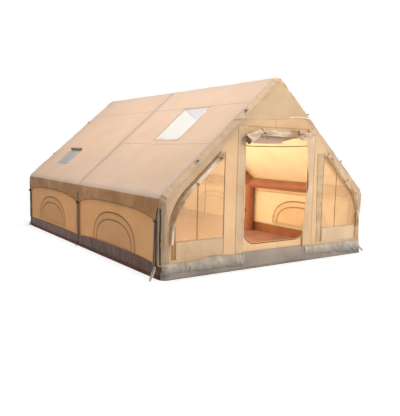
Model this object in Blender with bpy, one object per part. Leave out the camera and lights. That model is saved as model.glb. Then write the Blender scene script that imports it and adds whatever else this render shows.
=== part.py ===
"""Inflatable house tent: three air arches joined by air beams, under a sewn canvas shell.

Metres, +Z up, the front gable faces -Y. The origin is under the middle of the whole tent, on the ground.
"""

from math import atan2, cos, hypot, radians, sin, tan

import bmesh
import bpy
from mathutils import Matrix, Vector

# Shell: outer faces of the side walls and where the wall and roof planes would meet
HALF_WIDTH = 1.80
EAVE_HEIGHT = 0.98
RIDGE_HEIGHT = 2.56
ARCH_SPACING = 2.515
TRAY_HEIGHT = 0.17

# Cloth: every sheet is drawn at one thickness, with a gap where two layers are sewn together
SHEET = 0.004
SEAM_GAP = 0.0003
MESH_SHEET = 0.002
PATCH_SHEET = 0.003

# Air tubes: film bladder inside a cloth sleeve
BLADDER_RADIUS = 0.084
BLADDER_FILM = 0.003
SLEEVE_SLIP = 0.0005
SLEEVE_WALL = 0.004
BEND_RADIUS = 0.10
AIR_PORT_RADIUS = 0.020
BEAM_REACH = 0.045
TUBE_SIDES = 12
BEND_STEPS = 2

# Roof
ROOF_LAP = 0.008
ROOF_BEND_STEPS = 3
SKYLIGHT_LOW_SHARE = 0.456
SKYLIGHT_HIGH_SHARE = 0.772
SKYLIGHT_FRONT_SHARE = 0.354
SKYLIGHT_LENGTH_SHARE = 0.264
VALANCE_DEPTH = 0.17
VALANCE_DROP = 0.12
VALANCE_POWER = 3
VALANCE_BEND_DEPTH = 0.08
VALANCE_STEPS = 10

# Side windows
WINDOW_WIDTH_SHARE = 0.522
WINDOW_SILL_RISE = 0.053
WINDOW_RISE = 0.434
WINDOW_POWER = 2.4
WINDOW_STEPS = 18
ZIP_GAP = 0.0006
MESH_MARGIN = 0.020

# Front gable
DOOR_HALF_WIDTH = 0.565
DOOR_SILL = 0.34
DOOR_HEADROOM = 0.805
DOOR_CORNER = 0.20
JAMB_WIDTH = 0.34
FLAP_RISE = 0.21
FLAP_SIDE_MARGIN = 0.030
SCREEN_SILL = 0.44
SCREEN_SIDE_MARGIN = 0.145
SCREEN_SHOULDER_MARGIN = 0.164
SCREEN_HEAD_MARGIN = 0.132
SCREEN_BEND = 0.72
CURVE_STEPS = 6

# Rolled cloth at the front
DOOR_ROLL_RADIUS = 0.050
DOOR_ROLL_SWELL = 0.005
DOOR_ROLL_LIFT = 0.057
DOOR_ROLL_OVERHANG = 0.035
DOOR_ROLL_DROOP = 0.055
DOOR_ROLL_STEPS = 20
DROOP_POWER = 4
MESH_ROLL_RADIUS = 0.040
MESH_ROLL_INSET = 0.025
MESH_ROLL_LAP = 0.034
SHUTTER_ROLL_RADIUS = 0.034
SHUTTER_ROLL_INSET = 0.020
ROLL_SIDES = 12

# Ties round the rolled door
TIE_THICKNESS = 0.002
TIE_WIDTH = 0.025
TIE_OFFSET = 0.30
TIE_SLACK = 0.0008
TOGGLE_RADIUS = 0.009
TOGGLE_LENGTH = 0.045

# Skirts in front of the tray
SKIRT_RISE = 0.075
SKIRT_HEM = 0.075
SKIRT_DOOR_GAP = 0.035
SKIRT_CORNER_GAP = 0.110
SKIRT_FOLDS = 7
SKIRT_FOLD_DEPTH = 0.014
SKIRT_FOLD_STEPS = 6

# Stove-jack patch on the left roof
JACK_LOW_SHARE = 0.163
JACK_HIGH_SHARE = 0.327
JACK_NEAR_SHARE = 0.530
JACK_LENGTH_SHARE = 0.193
JACK_ROLL_RADIUS = 0.022

# Door zip sliders
SLIDER_WIDTH = 0.012
SLIDER_LENGTH = 0.032
SLIDER_DEPTH = 0.009
SLIDER_DROP = 0.135
SLIDER_EDGE = 0.004
PULL_LENGTH = 0.034
PULL_WIDTH = 0.007
PULL_THICKNESS = 0.003

# Straps down the six columns, with an eye for a ring and a loop for a peg
STRAP_THICKNESS = 0.003
STRAP_WIDTH = 0.025
STRAP_INSET = 0.045
STRAP_TOP_DEPTH = 0.100
STRAP_FOOT = 0.110
EYE_DEPTH = 0.265
EYE_WALL = 0.003
PEG_CORD_RADIUS = 0.003
PEG_LOOP_HALF_WIDTH = 0.020
PEG_LOOP_REACH = 0.085
PEG_LOOP_STEPS = 6
EYE_STEPS = 8

# D-rings
RING_WIRE = 0.0025
RING_CLEARANCE = 0.0006
RING_HALF_BAR = 0.020
RING_SIDES = 6
RING_STEPS = 8

# Inflation valve on the rear arch and relief valve on the middle arch, both facing inwards
VALVE_HEIGHT = 0.40
VALVE_BORE = 0.010
VALVE_NECK = 0.015
VALVE_FLANGE = 0.023
VALVE_FLANGE_THICKNESS = 0.003
VALVE_RISE = 0.014
VALVE_FIT = 0.0005
VALVE_SPIDER = 0.003
VALVE_SPIDER_DEPTH = 0.008
VALVE_HUB = 0.005
STEM_RADIUS = 0.0025
STEM_FIT = 0.0004
BUTTON_RADIUS = 0.0045
BUTTON_THICKNESS = 0.0015
POPPET_RADIUS = 0.0125
POPPET_THICKNESS = 0.0025
CAP_WALL = 0.003
CAP_HEIGHT = 0.013
CAP_GRIPS = 8
CAP_GRIP_RADIUS = 0.002
RELIEF_NECK = 0.009
RELIEF_FLANGE = 0.016
RELIEF_RISE = 0.009
RELIEF_HEAD = 0.013
RELIEF_HEAD_HEIGHT = 0.007
ROUND_SIDES = 20

# One overrun for every cut, and how near two points are before they become one
OVERRUN = 0.010
MERGE = 1e-5
QUARTER = radians(90)
HALF_TURN = radians(180)
FULL_TURN = radians(360)
HALF_SHARE = 0.5

# Worked out from the sizes above
SLEEVE_BORE = BLADDER_RADIUS + SLEEVE_SLIP
SLEEVE_RADIUS = SLEEVE_BORE + SLEEVE_WALL
COVER_RADIUS = SLEEVE_RADIUS + SEAM_GAP + SHEET
ROOF_INNER = COVER_RADIUS + SEAM_GAP
ROOF_RADIUS = ROOF_INNER + SHEET
SLOPE = atan2(RIDGE_HEIGHT - EAVE_HEIGHT, HALF_WIDTH)
COLUMN_X = HALF_WIDTH - COVER_RADIUS
COLUMN_TOP = EAVE_HEIGHT + COVER_RADIUS * tan(SLOPE) - COVER_RADIUS / cos(SLOPE)
ARCH_TOP = RIDGE_HEIGHT - COVER_RADIUS / cos(SLOPE)
RAFTER = hypot(COLUMN_X, ARCH_TOP - COLUMN_TOP)
SKYLIGHT_LOW = RAFTER * SKYLIGHT_LOW_SHARE
SKYLIGHT_HIGH = RAFTER * SKYLIGHT_HIGH_SHARE
SKYLIGHT_SPAN = (SKYLIGHT_HIGH, SKYLIGHT_LOW)
SKYLIGHT_FRONT = ARCH_SPACING * SKYLIGHT_FRONT_SHARE
SKYLIGHT_LENGTH = ARCH_SPACING * SKYLIGHT_LENGTH_SHARE
VALANCE_CROWN = EAVE_HEIGHT - VALANCE_DEPTH
VALANCE_TOP = EAVE_HEIGHT - VALANCE_BEND_DEPTH
WINDOW_HALF_WIDTH = ARCH_SPACING * WINDOW_WIDTH_SHARE * HALF_SHARE
WINDOW_SILL = TRAY_HEIGHT + WINDOW_SILL_RISE
JACK_LOW = RAFTER * JACK_LOW_SHARE
JACK_HIGH = RAFTER * JACK_HIGH_SHARE
JACK_NEAR = ARCH_SPACING * JACK_NEAR_SHARE
JACK_LENGTH = ARCH_SPACING * JACK_LENGTH_SHARE
DOOR_HEAD = RIDGE_HEIGHT - DOOR_HEADROOM
DOOR_ROLL_HEIGHT = DOOR_HEAD + DOOR_ROLL_LIFT
DOOR_ROLL_HALF_LENGTH = DOOR_HALF_WIDTH + DOOR_ROLL_OVERHANG
MESH_ROLL_HALF_LENGTH = DOOR_HALF_WIDTH - MESH_ROLL_INSET
JAMB_OUTER = DOOR_HALF_WIDTH + JAMB_WIDTH
FLAP_HEM = DOOR_HEAD + FLAP_RISE
SCREEN_OUTER = HALF_WIDTH - SCREEN_SIDE_MARGIN
SCREEN_SHOULDER = COLUMN_TOP + (COLUMN_X - SCREEN_OUTER) * tan(SLOPE) - SCREEN_SHOULDER_MARGIN
SCREEN_HEAD = COLUMN_TOP + (COLUMN_X - JAMB_OUTER) * tan(SLOPE) - SCREEN_HEAD_MARGIN
SKIRT_TOP = TRAY_HEIGHT + SKIRT_RISE
SKIRT_INNER = DOOR_HALF_WIDTH + SKIRT_DOOR_GAP
SKIRT_OUTER = HALF_WIDTH - SKIRT_CORNER_GAP
SLIDER_HEIGHT = DOOR_HEAD - SLIDER_DROP
STRAP_TOP = EAVE_HEIGHT - STRAP_TOP_DEPTH
EYE_HEIGHT = EAVE_HEIGHT - EYE_DEPTH
FLOOR_TOP = SHEET
TUBE_FOOT = FLOOR_TOP + SEAM_GAP
TIE_FLAT_SHARE = cos(HALF_TURN / ROUND_SIDES)
ROLL_FLAT_SHARE = cos(HALF_TURN / ROLL_SIDES)
TIE_BORE = (DOOR_ROLL_RADIUS + TIE_SLACK) / TIE_FLAT_SHARE
TIE_RADIUS = TIE_BORE + TIE_THICKNESS
DOOR_ROLL_OFFSET = TIE_RADIUS * TIE_FLAT_SHARE + SEAM_GAP
FRONT_REACH = COVER_RADIUS + DOOR_ROLL_OFFSET + TIE_RADIUS * TIE_FLAT_SHARE
MIDDLE_Y = (FRONT_REACH - COVER_RADIUS) * HALF_SHARE
FRONT_Y = MIDDLE_Y - ARCH_SPACING
REAR_Y = MIDDLE_Y + ARCH_SPACING
FRONT_FACE = FRONT_Y - COVER_RADIUS
REAR_FACE = REAR_Y + COVER_RADIUS
SIDES = {"left": -1, "right": 1}
CORNER_ANGLES = [(side + HALF_SHARE) * FULL_TURN / TUBE_SIDES for side in range(TUBE_SIDES // 4)]
CLOTH_ANGLES = [0.0, *CORNER_ANGLES, QUARTER]

# Looks: colour, roughness, metallic
CANVAS = ("#E6C49C", 0.85, 0.0)
CANVAS_ROOF = ("#E9C9A6", 0.85, 0.0)
CANVAS_WALL = ("#D9A775", 0.85, 0.0)
CANVAS_BAND = ("#C9AE8F", 0.85, 0.0)
SLEEVE_CLOTH = ("#B8683C", 0.85, 0.0)
AIR_FILM = ("#E4E0D6", 0.35, 0.0)
GROUNDSHEET_CLOTH = ("#8A7F78", 0.70, 0.0)
SKIRT_CLOTH = ("#C8B49C", 0.85, 0.0)
SCREEN_CLOTH = ("#EDBB8C", 0.60, 0.0)
INSECT_MESH = ("#8B8078", 0.90, 0.0)
WEBBING = ("#4A3E36", 0.80, 0.0)
CLEAR_FILM = ("#FFFDF5", 0.15, 0.0)
JACK_CLOTH = ("#A9ABAA", 0.70, 0.0)
BLACK_PLASTIC = ("#1C1B1A", 0.40, 0.0)
STEEL = ("#8E9094", 0.35, 1.0)


def clear_scene():
    for thing in list(bpy.data.objects):
        bpy.data.objects.remove(thing, do_unlink=True)


def linear(channel):
    """One sRGB channel, 0 to 1, as linear light."""
    knee, slope, offset, power = 0.04045, 12.92, 0.055, 2.4
    return channel / slope if channel <= knee else ((channel + offset) / (1 + offset)) ** power


def finish(name, colour, roughness, metallic=0.0):
    material = bpy.data.materials.new(name)
    material.use_nodes = True
    shader = material.node_tree.nodes["Principled BSDF"]
    channels = [linear(int(colour[k:k + 2], 16) / 255) for k in (1, 3, 5)]
    shader.inputs["Base Color"].default_value = (*channels, 1)
    shader.inputs["Roughness"].default_value = roughness
    shader.inputs["Metallic"].default_value = metallic
    return material


def add(name, mesh, look, smooth=True):
    """The mesh as an object of its own, with its look as (colour, roughness, metallic)."""
    bmesh.ops.remove_doubles(mesh, verts=mesh.verts, dist=MERGE)
    loose = [vert for vert in mesh.verts if not vert.link_faces]
    bmesh.ops.delete(mesh, geom=loose, context="VERTS")
    bmesh.ops.recalc_face_normals(mesh, faces=mesh.faces)
    data = bpy.data.meshes.new(name)
    mesh.to_mesh(data)
    mesh.free()
    if smooth:
        data.shade_smooth()
        data.set_sharp_from_angle(angle=radians(40))
    thing = bpy.data.objects.new(name, data)
    bpy.context.scene.collection.objects.link(thing)
    if look:
        data.materials.append(finish(name, *look))
    return thing


def as_cutter(thing):
    thing.hide_render = True
    thing.display_type = "WIRE"
    return thing


def combine(thing, other, operation):
    as_cutter(other)
    modifier = thing.modifiers.new(operation.lower(), "BOOLEAN")
    modifier.operation = operation
    modifier.object = other
    modifier.solver = "EXACT"


def cut(thing, cutter):
    combine(thing, cutter, "DIFFERENCE")


def join(thing, other):
    combine(thing, other, "UNION")


def place(thing, pivot):
    """Moves the object's origin to the pivot and leaves its shape where it is."""
    pivot = Vector(pivot)
    thing.data.transform(Matrix.Translation(-pivot))
    thing.location = pivot


def rounded(corners, radius, steps):
    """The polyline with an arc in each inner corner, as pairs of point and normal on the right-hand side."""
    corners = [Vector(corner) for corner in corners]
    ways = [(after - before).normalized() for before, after in zip(corners, corners[1:])]
    path = [(corners[0], Vector((ways[0].y, -ways[0].x)))]
    for corner, before, after in zip(corners[1:], ways, ways[1:]):
        turn = atan2(before.x * after.y - before.y * after.x, before.dot(after))
        start = corner - before * radius * tan(abs(turn) * HALF_SHARE)
        bulge = radius if turn > 0 else -radius
        centre = start - Vector((before.y, -before.x)) * bulge
        first = atan2(-before.x, before.y)
        for angle in spread(first, first + turn, steps):
            normal = Vector((cos(angle), sin(angle)))
            path.append((centre + normal * bulge, normal))
    path.append((corners[-1], Vector((ways[-1].y, -ways[-1].x))))
    return path


def rings_along(points, across, radius, sides, closed=False):
    """Rings round a flat path whose plane is square to across; radius is one value or one for each point."""
    across = Vector(across).normalized()
    points = [Vector(point) for point in points]
    count = len(points)
    rings = []
    for index, point in enumerate(points):
        before = points[index - 1] if index or closed else None
        after = points[(index + 1) % count] if closed or index + 1 < count else None
        back = (point - before).normalized() if before else None
        ahead = (after - point).normalized() if after else None
        along = ((back or ahead) + (ahead or back)).normalized()
        stretch = 1 / along.dot(back or ahead)
        outward = along.cross(across)
        size = radius[index] if isinstance(radius, list) else radius
        ring = []
        for side in range(sides):
            angle = FULL_TURN * (side + HALF_SHARE) / sides
            ring.append(point + outward * cos(angle) * size * stretch + across * sin(angle) * size)
        rings.append(ring)
    return rings


def bridge(mesh, rings, closed=False, capped=True):
    """Faces between rings of equal count; returns the rings of vertices."""
    made = [[mesh.verts.new(point) for point in ring] for ring in rings]
    pairs = list(zip(made, made[1:]))
    if closed:
        pairs.append((made[-1], made[0]))
    for first, second in pairs:
        for side in range(len(first)):
            beside = (side + 1) % len(first)
            mesh.faces.new((first[side], first[beside], second[beside], second[side]))
    if capped and not closed:
        mesh.faces.new(made[0])
        mesh.faces.new(made[-1])
    return made


def tube(name, rings, look, closed=False):
    mesh = bmesh.new()
    bridge(mesh, rings, closed)
    return add(name, mesh, look)


def pipe(name, outer, inner, look):
    """A tube with a bore that is open at both ends."""
    mesh = bmesh.new()
    outside = bridge(mesh, outer, capped=False)
    inside = bridge(mesh, inner, capped=False)
    for end in (0, -1):
        for side in range(len(outside[end])):
            beside = (side + 1) % len(outside[end])
            mesh.faces.new((outside[end][side], outside[end][beside], inside[end][beside], inside[end][side]))
    return add(name, mesh, look)


def prism(name, outline, at, near, far, look=None, smooth=False):
    """Closed solid of a flat outline: at(u, v, w) places its points, with w from near to far."""
    mesh = bmesh.new()
    bridge(mesh, [[at(u, v, depth) for u, v in outline] for depth in (near, far)])
    return add(name, mesh, look, smooth)


def turned(name, profile, at, look, sides=ROUND_SIDES):
    """Closed solid turned from a profile of (radius, height); at(x, y, height) places its points."""
    mesh = bmesh.new()
    rings = []
    for radius, height in profile:
        angles = [FULL_TURN * (side + HALF_SHARE) / sides for side in range(sides)]
        rings.append([at(radius * cos(angle), radius * sin(angle), height) for angle in angles])
    bored = profile[0] == profile[-1]
    bridge(mesh, rings[:-1] if bored else rings, closed=bored)
    return add(name, mesh, look)


def sheet(name, rows, look, skipped=()):
    """Closed cloth of two grids: rows[i][j] is a pair of points (outer, inner); skipped cells stay open."""
    mesh = bmesh.new()
    grid = [[[mesh.verts.new(point) for point in pair] for pair in row] for row in rows]
    cells = {(i, j) for i in range(len(rows) - 1) for j in range(len(rows[0]) - 1)} - set(skipped)
    for i, j in sorted(cells):
        corners = [(i, j), (i + 1, j), (i + 1, j + 1), (i, j + 1)]
        beside = [(i, j - 1), (i + 1, j), (i, j + 1), (i - 1, j)]
        for side in (0, 1):
            mesh.faces.new([grid[a][b][side] for a, b in corners])
        for turn, neighbour in enumerate(beside):
            if neighbour in cells:
                continue
            a, b = corners[turn], corners[(turn + 1) % len(corners)]
            edge = (grid[a[0]][a[1]], grid[b[0]][b[1]])
            mesh.faces.new((edge[0][0], edge[1][0], edge[1][1], edge[0][1]))
    return add(name, mesh, look)


def spread(start, end, steps):
    return [start + (end - start) * step / steps for step in range(steps + 1)]


def across_y(u, v, w):
    """Places an outline drawn in x and z, with its depth along y."""
    return Vector((u, w, v))


def across_x(u, v, w):
    """Places an outline drawn in y and z, with its depth along x."""
    return Vector((w, u, v))


def arch_corners(foot):
    """Centre line of an arch from its right foot over the ridge to its left foot, in x and z."""
    right = [(COLUMN_X, foot), (COLUMN_X, COLUMN_TOP)]
    left = [(-x, z) for x, z in reversed(right)]
    return right + [(0, ARCH_TOP)] + left


def arch_rings(y, radius, foot):
    path = rounded(arch_corners(foot), BEND_RADIUS, BEND_STEPS)
    return rings_along([(point.x, y, point.y) for point, _ in path], (0, 1, 0), radius, TUBE_SIDES)


def port_cutter(name, y, toward):
    """Rods along y at both eaves and the ridge, for the ports from an arch into its beams."""
    mesh = bmesh.new()
    ends = [y - OVERRUN - SLEEVE_RADIUS if way < 0 else y + OVERRUN + SLEEVE_RADIUS for way in toward]
    start, stop = (ends[0], ends[1]) if len(ends) > 1 else (y, ends[0])
    bend_drop = BEND_RADIUS / cos(SLOPE) - BEND_RADIUS
    for x, z in ((COLUMN_X, COLUMN_TOP), (0, ARCH_TOP - bend_drop), (-COLUMN_X, COLUMN_TOP)):
        rings = rings_along([(x, start, z), (x, stop, z)], (0, 0, 1), AIR_PORT_RADIUS, TUBE_SIDES)
        bridge(mesh, rings)
    return add(name, mesh, None)


def valve_point(arch_y, side):
    """Maps (x, y, height) of a valve to the tube wall: height runs inwards from the bladder's surface."""
    def at(x, y, height):
        return Vector((side * (COLUMN_X - BLADDER_RADIUS - height), arch_y + x, VALVE_HEIGHT + y))
    return at


def valve_cutter(name, arch_y, radius):
    profile = [(radius, -BLADDER_RADIUS * HALF_SHARE), (radius, SLEEVE_WALL + OVERRUN)]
    return turned(name, profile, valve_point(arch_y, SIDES["right"]), None)


def air_arches():
    arches = {
        "front": (FRONT_Y, (1,), None),
        "middle": (MIDDLE_Y, (-1, 1), RELIEF_NECK),
        "rear": (REAR_Y, (-1,), VALVE_NECK),
    }
    for label, (y, toward, neck) in arches.items():
        foot = TUBE_FOOT + SEAM_GAP
        bladder = tube(f"{label}_air_tube", arch_rings(y, BLADDER_RADIUS, foot), AIR_FILM)
        hollow = arch_rings(y, BLADDER_RADIUS - BLADDER_FILM, foot + BLADDER_FILM)
        cut(bladder, tube(f"{label}_air_space", hollow, None))
        outer = arch_rings(y, SLEEVE_RADIUS, TUBE_FOOT)
        inner = arch_rings(y, SLEEVE_BORE, TUBE_FOOT)
        sleeve = pipe(f"{label}_arch_sleeve", outer, inner, SLEEVE_CLOTH)
        ports = port_cutter(f"{label}_ports", y, toward)
        cut(bladder, ports)
        cut(sleeve, ports)
        if neck:
            hole = valve_cutter(f"{label}_valve_hole", y, neck + VALVE_FIT)
            cut(bladder, hole)
            cut(sleeve, hole)


def air_beams():
    """Beams between the arches, along both eaves and the ridge, cut to fit against the arch sleeves."""
    cutters = {}
    for y in (FRONT_Y, MIDDLE_Y, REAR_Y):
        rings = arch_rings(y, SLEEVE_RADIUS + SEAM_GAP, TUBE_FOOT)
        cutters[y] = as_cutter(tube(f"arch_space_{len(cutters)}", rings, None))
    lines = {
        "left_eave": (-COLUMN_X, COLUMN_TOP),
        "right_eave": (COLUMN_X, COLUMN_TOP),
        "ridge": (0, ARCH_TOP),
    }
    for bay, start, stop in (("front", FRONT_Y, MIDDLE_Y), ("rear", MIDDLE_Y, REAR_Y)):
        for label, (x, z) in lines.items():
            ends = [(x, start + BEAM_REACH, z), (x, stop - BEAM_REACH, z)]
            outer = rings_along(ends, (0, 0, 1), SLEEVE_RADIUS, TUBE_SIDES)
            inner = rings_along(ends, (0, 0, 1), SLEEVE_BORE, TUBE_SIDES)
            beam = pipe(f"{bay}_{label}_beam", outer, inner, SLEEVE_CLOTH)
            cut(beam, cutters[start])
            cut(beam, cutters[stop])


def tray_outline(inset):
    """Rounded rectangle of the groundsheet's wall, drawn in x and y."""
    radius = COVER_RADIUS - inset
    outline = []
    centres = ((COLUMN_X, REAR_Y), (-COLUMN_X, REAR_Y), (-COLUMN_X, FRONT_Y), (COLUMN_X, FRONT_Y))
    for turn, (x, y) in enumerate(centres):
        for angle in [turn * QUARTER + angle for angle in CLOTH_ANGLES]:
            outline.append((x + radius * cos(angle), y + radius * sin(angle)))
    return outline


def groundsheet():
    """Tray of the floor and its turned-up wall, in one piece."""
    mesh = bmesh.new()
    levels = ((0, 0), (0, TRAY_HEIGHT), (SHEET, TRAY_HEIGHT), (SHEET, FLOOR_TOP))
    bridge(mesh, [[Vector((x, y, z)) for x, y in tray_outline(inset)] for inset, z in levels])
    add("groundsheet", mesh, GROUNDSHEET_CLOTH)


def valance_hem(y):
    """Height of the valance's lower edge: a flat arch over each bay, lowest at the columns."""
    bay = MIDDLE_Y + ARCH_SPACING * (HALF_SHARE if y > MIDDLE_Y else -HALF_SHARE)
    share = min(abs(y - bay) / (ARCH_SPACING * HALF_SHARE), 1)
    return VALANCE_CROWN - VALANCE_DROP * share ** VALANCE_POWER


def roof_profile(y):
    """Roof from the ridge to the valance's hem at one station, as pairs of (outer, inner) in x and z."""
    corners = [(-COLUMN_X, COLUMN_TOP), (0, ARCH_TOP), (COLUMN_X, COLUMN_TOP), (COLUMN_X, valance_hem(y))]
    path = rounded(corners, 0, 2 * ROOF_BEND_STEPS)[1:]
    path = [(point, -normal) for point, normal in path[ROOF_BEND_STEPS:]]
    down_slope = Vector((cos(SLOPE), -sin(SLOPE)))
    slope_normal = Vector((sin(SLOPE), cos(SLOPE)))
    ridge = Vector((0, ARCH_TOP))
    lights = [(ridge + down_slope * (RAFTER - reach), slope_normal) for reach in SKYLIGHT_SPAN]
    after_ridge = ROOF_BEND_STEPS + 1
    valance = (Vector((COLUMN_X, VALANCE_TOP)), Vector((1, 0)))
    profile = path[:after_ridge] + lights + path[after_ridge:-1] + [valance, path[-1]]
    return [(point + normal * ROOF_RADIUS, point + normal * ROOF_INNER) for point, normal in profile]


def roofs():
    """Each roof half runs from the ridge over the eave and hangs down as a valance."""
    window = (FRONT_Y + SKYLIGHT_FRONT, FRONT_Y + SKYLIGHT_FRONT + SKYLIGHT_LENGTH)
    stations = {FRONT_Y - ROOF_LAP, REAR_Y + ROOF_LAP, *window}
    stations |= set(spread(FRONT_Y, MIDDLE_Y, VALANCE_STEPS))
    stations |= set(spread(MIDDLE_Y, REAR_Y, VALANCE_STEPS))
    stations = sorted(stations)
    row = stations.index(window[0])
    opened = range(row, stations.index(window[1]))
    column = ROOF_BEND_STEPS + 1
    for label, side in SIDES.items():
        rows = []
        for y in stations:
            pairs = roof_profile(y)
            rows.append([[Vector((side * max(p.x, SEAM_GAP), y, p.y)) for p in pair] for pair in pairs])
        sheet(f"{label}_roof", rows, CANVAS_ROOF, [(i, column) for i in opened])
        skylight(label, side, window)


def slope_point(side, along, y, lift):
    """A point on a roof slope: along is measured up from the eave's bend, lift out from the roof's face."""
    out = ROOF_RADIUS + lift
    x = COLUMN_X - along * cos(SLOPE) + out * sin(SLOPE)
    z = COLUMN_TOP + along * sin(SLOPE) + out * cos(SLOPE)
    return Vector((side * x, y, z))


def skylight(label, side, window):
    near, far = window[0] + SEAM_GAP, window[1] - SEAM_GAP
    low, high = SKYLIGHT_LOW + SEAM_GAP, SKYLIGHT_HIGH - SEAM_GAP
    outline = [(low, near), (high, near), (high, far), (low, far)]
    prism(
        f"{label}_skylight", outline, lambda u, v, w: slope_point(side, u, v, w), -SHEET, 0,
        CLEAR_FILM,
    )


def window_outline(centre, grow):
    """Arch-topped outline in y and z, grown on every side by grow."""
    half, rise, sill = WINDOW_HALF_WIDTH + grow, WINDOW_RISE + grow, WINDOW_SILL - grow
    outline = []
    for angle in spread(0, HALF_TURN, WINDOW_STEPS):
        across = abs(cos(angle)) ** (2 / WINDOW_POWER) * (1 if angle < QUARTER else -1)
        up = max(sin(angle), 0) ** (2 / WINDOW_POWER)
        outline.append((centre + half * across, WINDOW_SILL + rise * up))
    return outline if not grow else outline + [(centre - half, sill), (centre + half, sill)]


def side_walls():
    outline = [
        (FRONT_Y + SEAM_GAP, TRAY_HEIGHT + SEAM_GAP), (REAR_Y - SEAM_GAP, TRAY_HEIGHT + SEAM_GAP),
        (REAR_Y - SEAM_GAP, COLUMN_TOP), (FRONT_Y + SEAM_GAP, COLUMN_TOP),
    ]
    bays = {"front": MIDDLE_Y - ARCH_SPACING * HALF_SHARE, "rear": MIDDLE_Y + ARCH_SPACING * HALF_SHARE}
    for label, side in SIDES.items():
        outer, inner = side * HALF_WIDTH, side * (HALF_WIDTH - SHEET)
        wall = prism(f"{label}_wall", outline, across_x, inner, outer, CANVAS_WALL)
        for bay, centre in bays.items():
            name = f"{label}_{bay}_window"
            reach = side * OVERRUN
            outline_of_hole = window_outline(centre, 0)
            opening = prism(f"{name}_opening", outline_of_hole, across_x, inner - reach, outer + reach)
            cut(wall, opening)
            leaf = window_outline(centre, -ZIP_GAP)
            flap = prism(f"{name}_flap", leaf, across_x, inner, outer, CANVAS_WALL)
            place(flap, (outer, centre, WINDOW_SILL + ZIP_GAP))
            back = inner - side * SEAM_GAP
            net = window_outline(centre, MESH_MARGIN)
            prism(f"{name}_mesh", net, across_x, back - side * MESH_SHEET, back, INSECT_MESH)


def gable_outline():
    inset = SEAM_GAP
    right = [(COLUMN_X - inset, TRAY_HEIGHT + SEAM_GAP), (COLUMN_X - inset, COLUMN_TOP - inset)]
    left = [(-x, z) for x, z in reversed(right)]
    return right + [(0, ARCH_TOP - inset / cos(SLOPE))] + left


def door_outline():
    """Door opening: square head, large round corners at the sill."""
    half = DOOR_HALF_WIDTH
    corners = [(half, DOOR_HEAD), (half, DOOR_SILL), (-half, DOOR_SILL), (-half, DOOR_HEAD)]
    return [tuple(point) for point, _ in rounded(corners, DOOR_CORNER, CURVE_STEPS)]


def screen_outline(side, inset):
    """Front window: straight beside the door, with an outer edge that bends like the arch over it."""
    inner, outer, sill = JAMB_OUTER + inset, SCREEN_OUTER - inset, SCREEN_SILL + inset
    corners = [(inner, SCREEN_HEAD - inset), (outer, SCREEN_SHOULDER - inset), (outer, sill)]
    bend = [tuple(point) for point, _ in rounded(corners, SCREEN_BEND, CURVE_STEPS)]
    return [(side * x, z) for x, z in bend + [(inner, sill)]]


def front_and_rear():
    inner_face = FRONT_FACE + SHEET
    panel = prism("front_panel", gable_outline(), across_y, FRONT_FACE, inner_face, CANVAS)
    near, far = FRONT_FACE - OVERRUN, inner_face + OVERRUN
    cut(panel, prism("door_opening", door_outline(), across_y, near, far))
    for label, side in SIDES.items():
        cut(panel, prism(f"{label}_screen_opening", screen_outline(side, 0), across_y, near, far))
        screen = screen_outline(side, SEAM_GAP)
        prism(f"{label}_window_screen", screen, across_y, FRONT_FACE, inner_face, SCREEN_CLOTH)
    prism("rear_panel", gable_outline(), across_y, REAR_FACE - SHEET, REAR_FACE, CANVAS)
    hem_half = (ARCH_TOP - FLAP_HEM) / tan(SLOPE) - FLAP_SIDE_MARGIN
    tip = ARCH_TOP - FLAP_SIDE_MARGIN * tan(SLOPE)
    front = FRONT_FACE - SEAM_GAP
    flap = [(hem_half, FLAP_HEM), (0, tip), (-hem_half, FLAP_HEM)]
    prism("front_gable_flap", flap, across_y, front - SHEET, front, CANVAS)


def arch_covers():
    """Cloth that turns round each end arch from the roof and side walls to the gable panel."""
    foot = TRAY_HEIGHT + SEAM_GAP
    path = rounded(arch_corners(foot), 0, BEND_STEPS)
    for label, y, way in (("front", FRONT_Y, -1), ("rear", REAR_Y, 1)):
        rows = []
        for point, normal in path:
            row = []
            for angle in CLOTH_ANGLES:
                pair = []
                for radius in (COVER_RADIUS, COVER_RADIUS - SHEET):
                    flat = point + normal * radius * cos(angle)
                    pair.append(Vector((flat.x, y + way * radius * sin(angle), flat.y)))
                row.append(pair)
            rows.append(row)
        sheet(f"{label}_arch_cover", rows, CANVAS_BAND)


def door_roll_centre(x):
    """Middle of the rolled door at one place across the front: it droops at its left end."""
    share = max(-x / DOOR_ROLL_HALF_LENGTH, 0)
    droop = DOOR_ROLL_DROOP * share ** DROOP_POWER
    return Vector((x, FRONT_FACE - DOOR_ROLL_OFFSET, DOOR_ROLL_HEIGHT - droop))


def door_roll_radius(x):
    """The roll is tight at the ties and slacker between them and at its ends."""
    turn = HALF_TURN * (x / TIE_OFFSET - 1) * HALF_SHARE
    return DOOR_ROLL_RADIUS - DOOR_ROLL_SWELL * sin(turn) ** 2 * cos(turn) ** 2


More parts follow.
